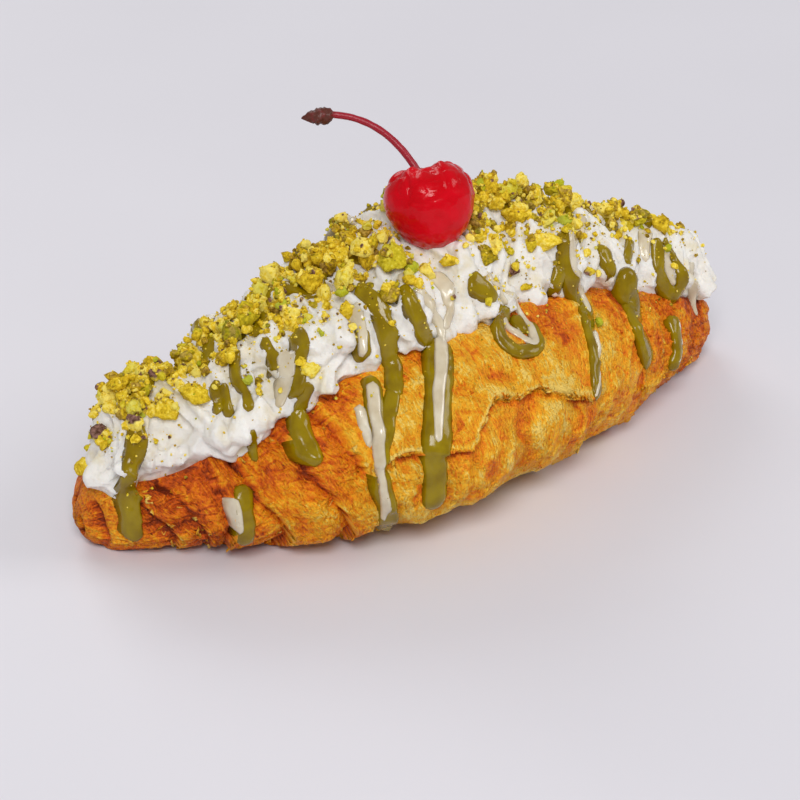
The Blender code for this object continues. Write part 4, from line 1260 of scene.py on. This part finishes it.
def foot_lobes(surfaces):
    """Lobes along the cream's lower edges, as pairs of landings: foot and tip."""
    rng = np.random.default_rng(LOBE_SEED)
    pairs = []
    for x, y in spaced(CREAM_FOOT, LOBE_PITCH):
        tip = (x + rng.uniform(*LOBE_LEAN), y - rng.uniform(*LOBE_TALL))
        pairs.append((surfaces.seen_at((x, y)), surfaces.seen_at(tip)))
    for x in np.linspace(*LOBES_BEHIND) * MM:
        back = mound(x)[2] - LOBE_INSET
        foot = place_of(np.array([x, back, pastry_height(x, back)]))[1]
        tip = foot - rng.uniform(*LOBE_TALL_BEHIND)
        pairs.append((surfaces.land(x, foot), surfaces.land(x, tip)))
    return [pair for pair in pairs if all(pair)]


def cream_leaves(surfaces):
    """Every leaf and lobe, as pairs of landings: foot and tip."""
    leaves = [(surfaces.seen_at(foot), surfaces.seen_at(tip)) for foot, tip in LEAVES]
    leaves += foot_lobes(surfaces)
    for x, *turned in LEAVES_BEHIND:
        leaves.append([surfaces.land(x * MM, around) for around in turned])
    return leaves


def merge(piece, grain):
    """Makes one skin of a piece's overlapping bodies."""
    remesh = piece.modifiers.new("merge", "REMESH")
    remesh.mode = "VOXEL"
    remesh.voxel_size = grain
    graph = bpy.context.evaluated_depsgraph_get()
    piece.data = bpy.data.meshes.new_from_object(piece.evaluated_get(graph))
    piece.modifiers.clear()


def build_cream(crust):
    ropes = [core_points()] + [rope_points(turn) for turn in range(len(TURNS) - 1)]
    plain = new_piece("plain_mound", *tubes(ropes))
    surfaces = Surfaces(crust, plain)
    bpy.data.objects.remove(plain)
    ropes += [leaf_points(*leaf) for leaf in cream_leaves(surfaces)]
    cream = new_piece("whipped_cream", *tubes(ropes))
    merge(cream, CREAM_GRAIN)
    where = coordinates(cream)
    fluff = rumples(where, CREAM_SWELLS)
    fluff += sum(height * (PEAK_LEVEL - np.abs(rumple(where, size))) for height, size in CREAM_PEAKS)
    moved = where + normals(cream) * fluff[:, None]
    cream.data.vertices.foreach_set("co", moved.astype(np.float32).ravel())
    cream.data.update()
    cream.data.shade_smooth()
    cream.data.materials.clear()
    cream.data.materials.append(cream_material())
    return cream


# -------------------------------------------------------------- landing and view


def axis_point(x):
    centre, _, _, height = section(np.asarray(x))
    return np.array([x, float(centre), MIDLINE * float(height)])


def outward(around):
    a = math.radians(around)
    return np.array([0, -math.cos(a), math.sin(a)])


def place_of(point):
    """The (x, around) of a point in space."""
    middle = axis_point(point[0])
    around = math.degrees(math.atan2(point[2] - middle[2], -(point[1] - middle[1])))
    return point[0], around + 360 if around < -90 else around


def view_axes():
    back = Vector(
        (
            math.sin(VIEW_AZIMUTH) * math.cos(VIEW_ELEVATION),
            -math.cos(VIEW_AZIMUTH) * math.cos(VIEW_ELEVATION),
            math.sin(VIEW_ELEVATION),
        )
    )
    right = Vector((0, 0, 1)).cross(back).normalized()
    return right, back.cross(right), back


# ---------------------------------------------------------------------- sauces


def spaced(points, step):
    """The same line with points this far apart, rounded at its corners."""
    points = np.array(points, float)
    lengths = np.concatenate([[0], np.cumsum(np.linalg.norm(np.diff(points, axis=0), axis=1))])
    count = max(SPACED_LEAST, round(lengths[-1] / step))
    even = np.linspace(0, lengths[-1], count)
    line = np.stack([np.interp(even, lengths, points[:, k]) for k in range(points.shape[1])], -1)
    for _ in range(max(ROUNDING[0], count // ROUNDING[1])):
        line[1:-1] = 0.25 * line[:-2] + 0.5 * line[1:-1] + 0.25 * line[2:]
    return line


def streak(surfaces, spots, width, kind, seed):
    """A domed run of sauce along spots on the surface, filling the dips under it, as rings."""
    line = spaced(spots, SAUCE_STEP)
    widths, heights = streak_sizes(line, width, kind, seed)
    middles, outs, base = landing_grid(surfaces, line, widths)
    filled = filled_dips(base)
    across = np.linspace(-1, 1, SAUCE_ACROSS)
    dome = np.clip(1 - across**2, 0, 1) ** SAUCE_DOME
    top = base + (SAUCE_FILL * (filled - base) + heights[:, None]) * dome
    over = middles + outs * top[:, :, None]
    under = middles + outs * (base - SAUCE_SOAK)[:, :, None]
    return np.concatenate([over, under[:, ::-1][:, 1:-1]], axis=1)


def streak_sizes(line, width, kind, seed):
    """Its width and height along the way: uneven, with round ends and a bead at the last one."""
    along = np.concatenate([[0], np.cumsum(np.linalg.norm(np.diff(line, axis=0), axis=1))])
    left = along[-1] - along
    places = np.stack([along, 0 * along + seed, 0 * along], -1)
    uneven = 1 + rumples(places, [SAUCE_UNEVEN])
    ends = [np.sqrt(1 - (1 - np.clip(2 * run / width, 0, 1)) ** 2) for run in (along, left)]
    round_ends = np.maximum(ends[0] * ends[1], SAUCE_END)
    more, place, length = SAUCE_BEAD
    bead = 1 + more * bell(left, place * width, length * width)
    sizes = width * (1 - SAUCE_TAPERS[kind] * along / along[-1]) * round_ends
    return sizes * uneven, SAUCE_HEIGHTS[kind] * sizes * bead


def landing_grid(surfaces, line, widths):
    """Across a line, for each of its points: the axis, the way out and the surface's distance."""
    tangents = np.gradient(line, axis=0)
    middles, outs = np.zeros((2, len(line), SAUCE_ACROSS, 3))
    base = np.full((len(line), SAUCE_ACROSS), np.nan)
    for i, (point, tangent) in enumerate(zip(line, tangents)):
        side = unit(np.cross(tangent, outward(place_of(point)[1])))
        for j, share in enumerate(np.linspace(-0.5, 0.5, SAUCE_ACROSS)):
            x, around = place_of(point + side * share * widths[i])
            middles[i, j], outs[i, j] = axis_point(x), outward(around)
            landed = surfaces.land(x, around)
            if landed:
                base[i, j] = (np.array(landed[0]) - middles[i, j]) @ outs[i, j]
    return middles, outs, np.where(np.isnan(base), np.nanmean(base), base)


def filled_dips(base):
    filled = base
    for _ in range(FILL_STEPS):
        padded = np.pad(filled, 1, mode="edge")
        around = padded[:-2, 1:-1] + padded[2:, 1:-1] + padded[1:-1, :-2] + padded[1:-1, 2:]
        filled = np.maximum(around / 4, base)
    return filled


def sauce_lines(kind, surfaces, paths):
    """Each streak's landings and width: the photo's, the waves on the ridge, then the far side's."""
    for width, *pixels in paths.values():
        yield [seen[0] for seen in map(surfaces.seen_at, pixels) if seen], width
    for first, last in RIDGE_RUNS if kind == "green" else ():
        xs = np.arange(first * MM, last * MM, RIDGE_WAVE / RIDGE_STEPS)
        turned = RIDGE_SWING[0] + RIDGE_SWING[1] * np.sin(math.tau * xs / RIDGE_WAVE)
        yield [surfaces.land(*place)[0] for place in zip(xs, turned)], RIDGE_WIDTH
    for x, end, around, width, sauce in BACK_STREAKS:
        if sauce == kind:
            half_way = ((x + end) / 2 - BACK_SWERVE, (BACK_START + around) / 2)
            places = [(x, BACK_START), half_way, (end, around)]
            yield [surfaces.land(place * MM, turned)[0] for place, turned in places], width


def build_sauce(kind, surfaces, paths, material):
    rings = []
    for spots, width in sauce_lines(kind, surfaces, paths):
        rings.append(streak(surfaces, spots, width * MM, kind, SAUCE_SEED_STEP * len(rings)))
    return new_piece(kind + "_sauce", *tubes(rings), material)


# ------------------------------------------------------------------------ nuts


def ball(subdivisions):
    mesh = bmesh.new()
    bmesh.ops.create_icosphere(mesh, subdivisions=subdivisions, radius=1)
    points = np.array([vert.co for vert in mesh.verts])
    faces = np.array([[vert.index for vert in face.verts] for face in mesh.faces])
    mesh.free()
    return points, faces


def chopped(points, rng):
    """A piece of kernel of radius about 1: an uneven oval with flat cut sides, crumbly all over."""
    shaped = points * rng.uniform(*NUT_OVAL)
    for _ in range(NUT_CUTS):
        direction = unit(rng.normal(size=3))
        over = np.clip(shaped @ direction - rng.uniform(*CUT_AT), 0, None)
        shaped = shaped - CUT_SHARE * over[:, None] * direction
    return shaped * (1 + rumples(points + rng.uniform(*NOISE_RANGE, 3), NUT_CRUMBLE))[:, None]


class Heap:
    """Many small pieces gathered into one mesh, with their colours."""

    def __init__(self, level):
        self.rounded = level > NUT_FACETED
        self.ball, self.faces_of_one = ball(level)
        self.points, self.faces, self.looks = [], [], []

    def add_nut(self, spot, normal, size, kind, rng):
        turn = np.array(Euler(rng.uniform(0, math.tau, 3)).to_matrix())
        body = chopped(self.ball, rng) @ turn.T * size * NUT_RADIUS
        mottled = rumple(self.ball + rng.uniform(*NOISE_RANGE, 3), NUT_MOTTLE[1])
        tone = rng.uniform(*NUT_TONES[kind == "dusty"]) + NUT_MOTTLE[0] * mottled
        skin = 0 * mottled
        if kind == "dusty":
            skin = DUSTY_SKIN[0] * (mottled > DUSTY_SKIN[1])
        if kind == "skinned":
            level, stray, soft = SKIN_EDGE
            skin = smooth((self.ball[:, 2] - level + stray * mottled) / soft)
        tinged, most = LIME_TINGE
        lime = LIME if kind == "lime" else most * (rng.random() < tinged) * rng.random()
        self.faces.append(self.faces_of_one + len(self.ball) * len(self.points))
        self.points.append(body + np.array(spot) + np.array(normal) * size * NUT_LIFT)
        self.looks.append(np.stack([tone, skin, 0 * skin + lime]))

    def scatter(self, surfaces, rng, count, least, most, spread):
        kinds, shares = zip(*NUT_KINDS.items())
        for _ in range(count):
            x = rng.uniform(*NUT_RANGE) * MM
            around = rng.normal(along_table(x, NUT_DRIFTS, 2), spread)
            size = (least + (most - least) * rng.random() ** NUT_SMALLNESS) * MM
            kind = rng.choice(kinds, p=shares)
            landed = surfaces.land(x, np.clip(around, *NUT_LIMITS))
            clear = (landed[0] - CHERRY_CENTRE).length > CHERRY_RADIUS + NUT_CLEAR * size
            if clear and rng.random() < along_table(x, NUT_DRIFTS):
                self.add_nut(*landed, size, kind, rng)

    def piece(self, name, material):
        points, faces = np.concatenate(self.points), np.concatenate(self.faces)
        nuts = new_piece(name, points, faces.tolist(), material, self.rounded)
        for look, values in zip(("tone", "skin", "lime"), np.concatenate(self.looks, axis=1)):
            add_value(nuts, look, values)
        return nuts


def build_nuts(surfaces, material):
    """The largest first, so that the smaller ones lie on them."""
    rng = np.random.default_rng(NUT_SEED)
    placed = Heap(NUT_FINEST)
    for *pixel, size, kind in PLACED_NUTS:
        seen = surfaces.seen_at(pixel)
        if seen:
            placed.add_nut(*seen, size * MM, kind, rng)
    pieces = [placed.piece("nut_kernels", material)]
    for name, (*chances, level) in SCATTERED.items():
        surfaces.add(pieces[-1])
        heap = Heap(level)
        heap.scatter(surfaces, rng, *chances)
        pieces.append(heap.piece("nut_" + name, material))
    return pieces


# -------------------------------------------------------------- cherry and stem


def cherry_placing():
    lean = Matrix.Rotation(CHERRY_LEAN[0], 4, "X") @ Matrix.Rotation(CHERRY_LEAN[1], 4, "Y")
    return Matrix.Translation(CHERRY_CENTRE) @ lean @ Matrix.Scale(CHERRY_RADIUS, 4)


def cherry_wrinkles(points, heading, off):
    """How far the skin stands out, as shares of the radius: dents, puckers round the stem, creases."""
    stray, size = PUCKER_STRAY
    puckers = np.sin(PUCKERS * heading + stray * rumple(points, size)) * bell(off, *PUCKER_RING)
    wrinkled = 1 + rumples(points, WRINKLES) + PUCKER_DEPTH * puckers * (points[:, 2] > 0)
    for depth, size, width in CREASES:
        crease = bell(rumple(points + CREASE_SHIFT, size), 0, width)
        wrinkled -= depth * crease * smooth(points[:, 2] - CREASES_FROM)
    return wrinkled


def cherry_shape(points):
    """A unit ball's points moved to the cherry's form: shoulders, dimple, cleft and wrinkles."""
    x, y, z = points.T
    heading, off = np.arctan2(y, x), np.hypot(x, y)
    dimple = DIMPLE_DEPTH * bell(off, 0, DIMPLE_WIDTH) * (z > 0)
    cleft = CLEFT_DEPTH * bell(heading, CLEFT_HEADING, CLEFT_WIDTH) * np.clip(z, 0, 1)
    girth = 1 - cleft - BASE_TAPER * np.clip(-z, 0, 1) + SHOULDER_SWELL * bell(z, *SHOULDER_PLACE)
    wrinkled = cherry_wrinkles(points, heading, off)
    height = CHERRY_HEIGHT * z * wrinkled - dimple - cleft
    return np.stack([x * girth * wrinkled, y * girth * wrinkled, height], -1)


def build_cherry():
    mesh = bmesh.new()
    around, down = CHERRY_SEGMENTS
    bmesh.ops.create_uvsphere(mesh, u_segments=around, v_segments=down, radius=1)
    shaped = cherry_shape(np.array([vert.co for vert in mesh.verts]))
    for vert, moved in zip(mesh.verts, shaped):
        vert.co = moved
    bmesh.ops.transform(mesh, matrix=cherry_placing(), verts=mesh.verts)
    points = [vert.co for vert in mesh.verts]
    faces = sorted([vert.index for vert in face.verts] for face in mesh.faces)
    cherry = new_piece("cherry_flesh", points, faces, cherry_material())
    mesh.free()
    return cherry


def stem_heading(slope):
    return STEM_HEADING * math.cos(slope) + STEM_UP * math.sin(slope)


def stem_line():
    """The middle of the stalk and its knob, with the radius at each point."""
    floor = cherry_placing() @ Vector((0, 0, CHERRY_HEIGHT - DIMPLE_DEPTH))
    base = floor + Vector((0, 0, STEM_LIFT)) + STEM_HEADING * STEM_SHIFT
    centres = [base - stem_heading(STEM_RISE[0]) * STEM_ROOT, base]
    for share in np.linspace(0, 1, STEM_STEPS)[1:]:
        slope = STEM_RISE[0] + (STEM_RISE[1] - STEM_RISE[0]) * share**STEM_BEND
        centres.append(centres[-1] + stem_heading(slope) * STEM_LENGTH / STEM_STEPS)
    radii = STEM_RADIUS * (STEM_NARROWING[0] - STEM_NARROWING[1] * np.linspace(0, 1, STEM_STEPS + 1))
    shares = np.linspace(0, 1, KNOB_STEPS + 1)[1:]
    knob = KNOB_RADIUS * np.interp(shares, *zip(*KNOB_PROFILE))
    centres += [centres[-1] + stem_heading(KNOB_SLOPE) * KNOB_LENGTH * share for share in shares]
    return np.array(centres), np.concatenate([radii, knob])


def build_stem():
    """The stalk and its knobbly end."""
    centres, radii = stem_line()
    tube = swept(centres, radii, sides=STEM_SIDES)
    before, run = WOODY_FROM
    woody = np.repeat(smooth((np.arange(len(centres)) - STEM_STEPS + before) / run), STEM_SIDES)
    spine = np.repeat(centres, STEM_SIDES, axis=0)
    flat = tube.reshape(-1, 3)
    knobbly = 1 + rumples(flat, STALK_WAVES) + woody * rumples(flat, KNOBBLES)
    tube = (spine + (flat - spine) * knobbly[:, None]).reshape(tube.shape)
    stem = new_piece("stalk", *tubes([tube]), stem_material())
    add_value(stem, "woody", woody)
    return stem


# ----------------------------------------------------------- floor, light, camera


def build_floor():
    corners = [(x * FLOOR_HALF, y * FLOOR_HALF, 0) for x, y in ((-1, -1), (1, -1), (1, 1), (-1, 1))]
    floor = new_piece("floor", corners, [(0, 1, 2, 3)], floor_material())
    floor.location.z = -FLOOR_GAP


def add_light(name, place, size, power):
    light = bpy.data.lights.new(name, "AREA")
    light.shape = "RECTANGLE"
    light.size, light.size_y = size
    light.energy = power
    lamp = bpy.data.objects.new(name, light)
    lamp.location = place
    lamp.rotation_euler = (Vector(place) - LIGHT_AIM).to_track_quat("Z", "Y").to_euler()
    bpy.context.scene.collection.objects.link(lamp)


def light_scene():
    world = bpy.data.worlds.new("studio")
    world.use_nodes = True
    background = world.node_tree.nodes["Background"]
    background.inputs["Color"].default_value = SKY
    background.inputs["Strength"].default_value = SKY_STRENGTH
    bpy.context.scene.world = world
    for name, light in LIGHTS.items():
        add_light(name, *light)


def add_camera():
    lens = bpy.data.cameras.new("camera")
    lens.lens = LENS
    lens.sensor_width = SENSOR
    lens.clip_start = VIEW_NEAR
    camera = bpy.data.objects.new("camera", lens)
    _, _, back = view_axes()
    camera.location = VIEW_TARGET + back * VIEW_DISTANCE
    camera.rotation_euler = back.to_track_quat("Z", "Y").to_euler()
    bpy.context.scene.collection.objects.link(camera)
    bpy.context.scene.camera = camera
    bpy.context.scene.view_settings.view_transform = "Standard"


# ------------------------------------------------------------------------- main


def main():
    add_camera()
    crust = build_crust()
    cream = build_cream(crust)
    surfaces = Surfaces(crust, cream)
    green = build_sauce("green", surfaces, GREEN_PATHS, green_material())
    surfaces.add(green)
    white = build_sauce("white", surfaces, WHITE_PATHS, white_material())
    surfaces.add(white)
    flakes = build_flakes(crust, surfaces)
    nuts = build_nuts(surfaces, nut_material())
    cherry, stem = build_cherry(), build_stem()
    slots = {
        "crust": (crust, flakes),
        "cream": (cream, green, white, *nuts),
        "cherry": (cherry,),
        "stem": (stem,),
    }
    for slot, pieces in slots.items():
        for piece in pieces:
            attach(piece, "root")
    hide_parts("croissant")
    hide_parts("cream")
    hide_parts("cherry")
    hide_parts("cherry_stem")
    build_floor()
    light_scene()


main()
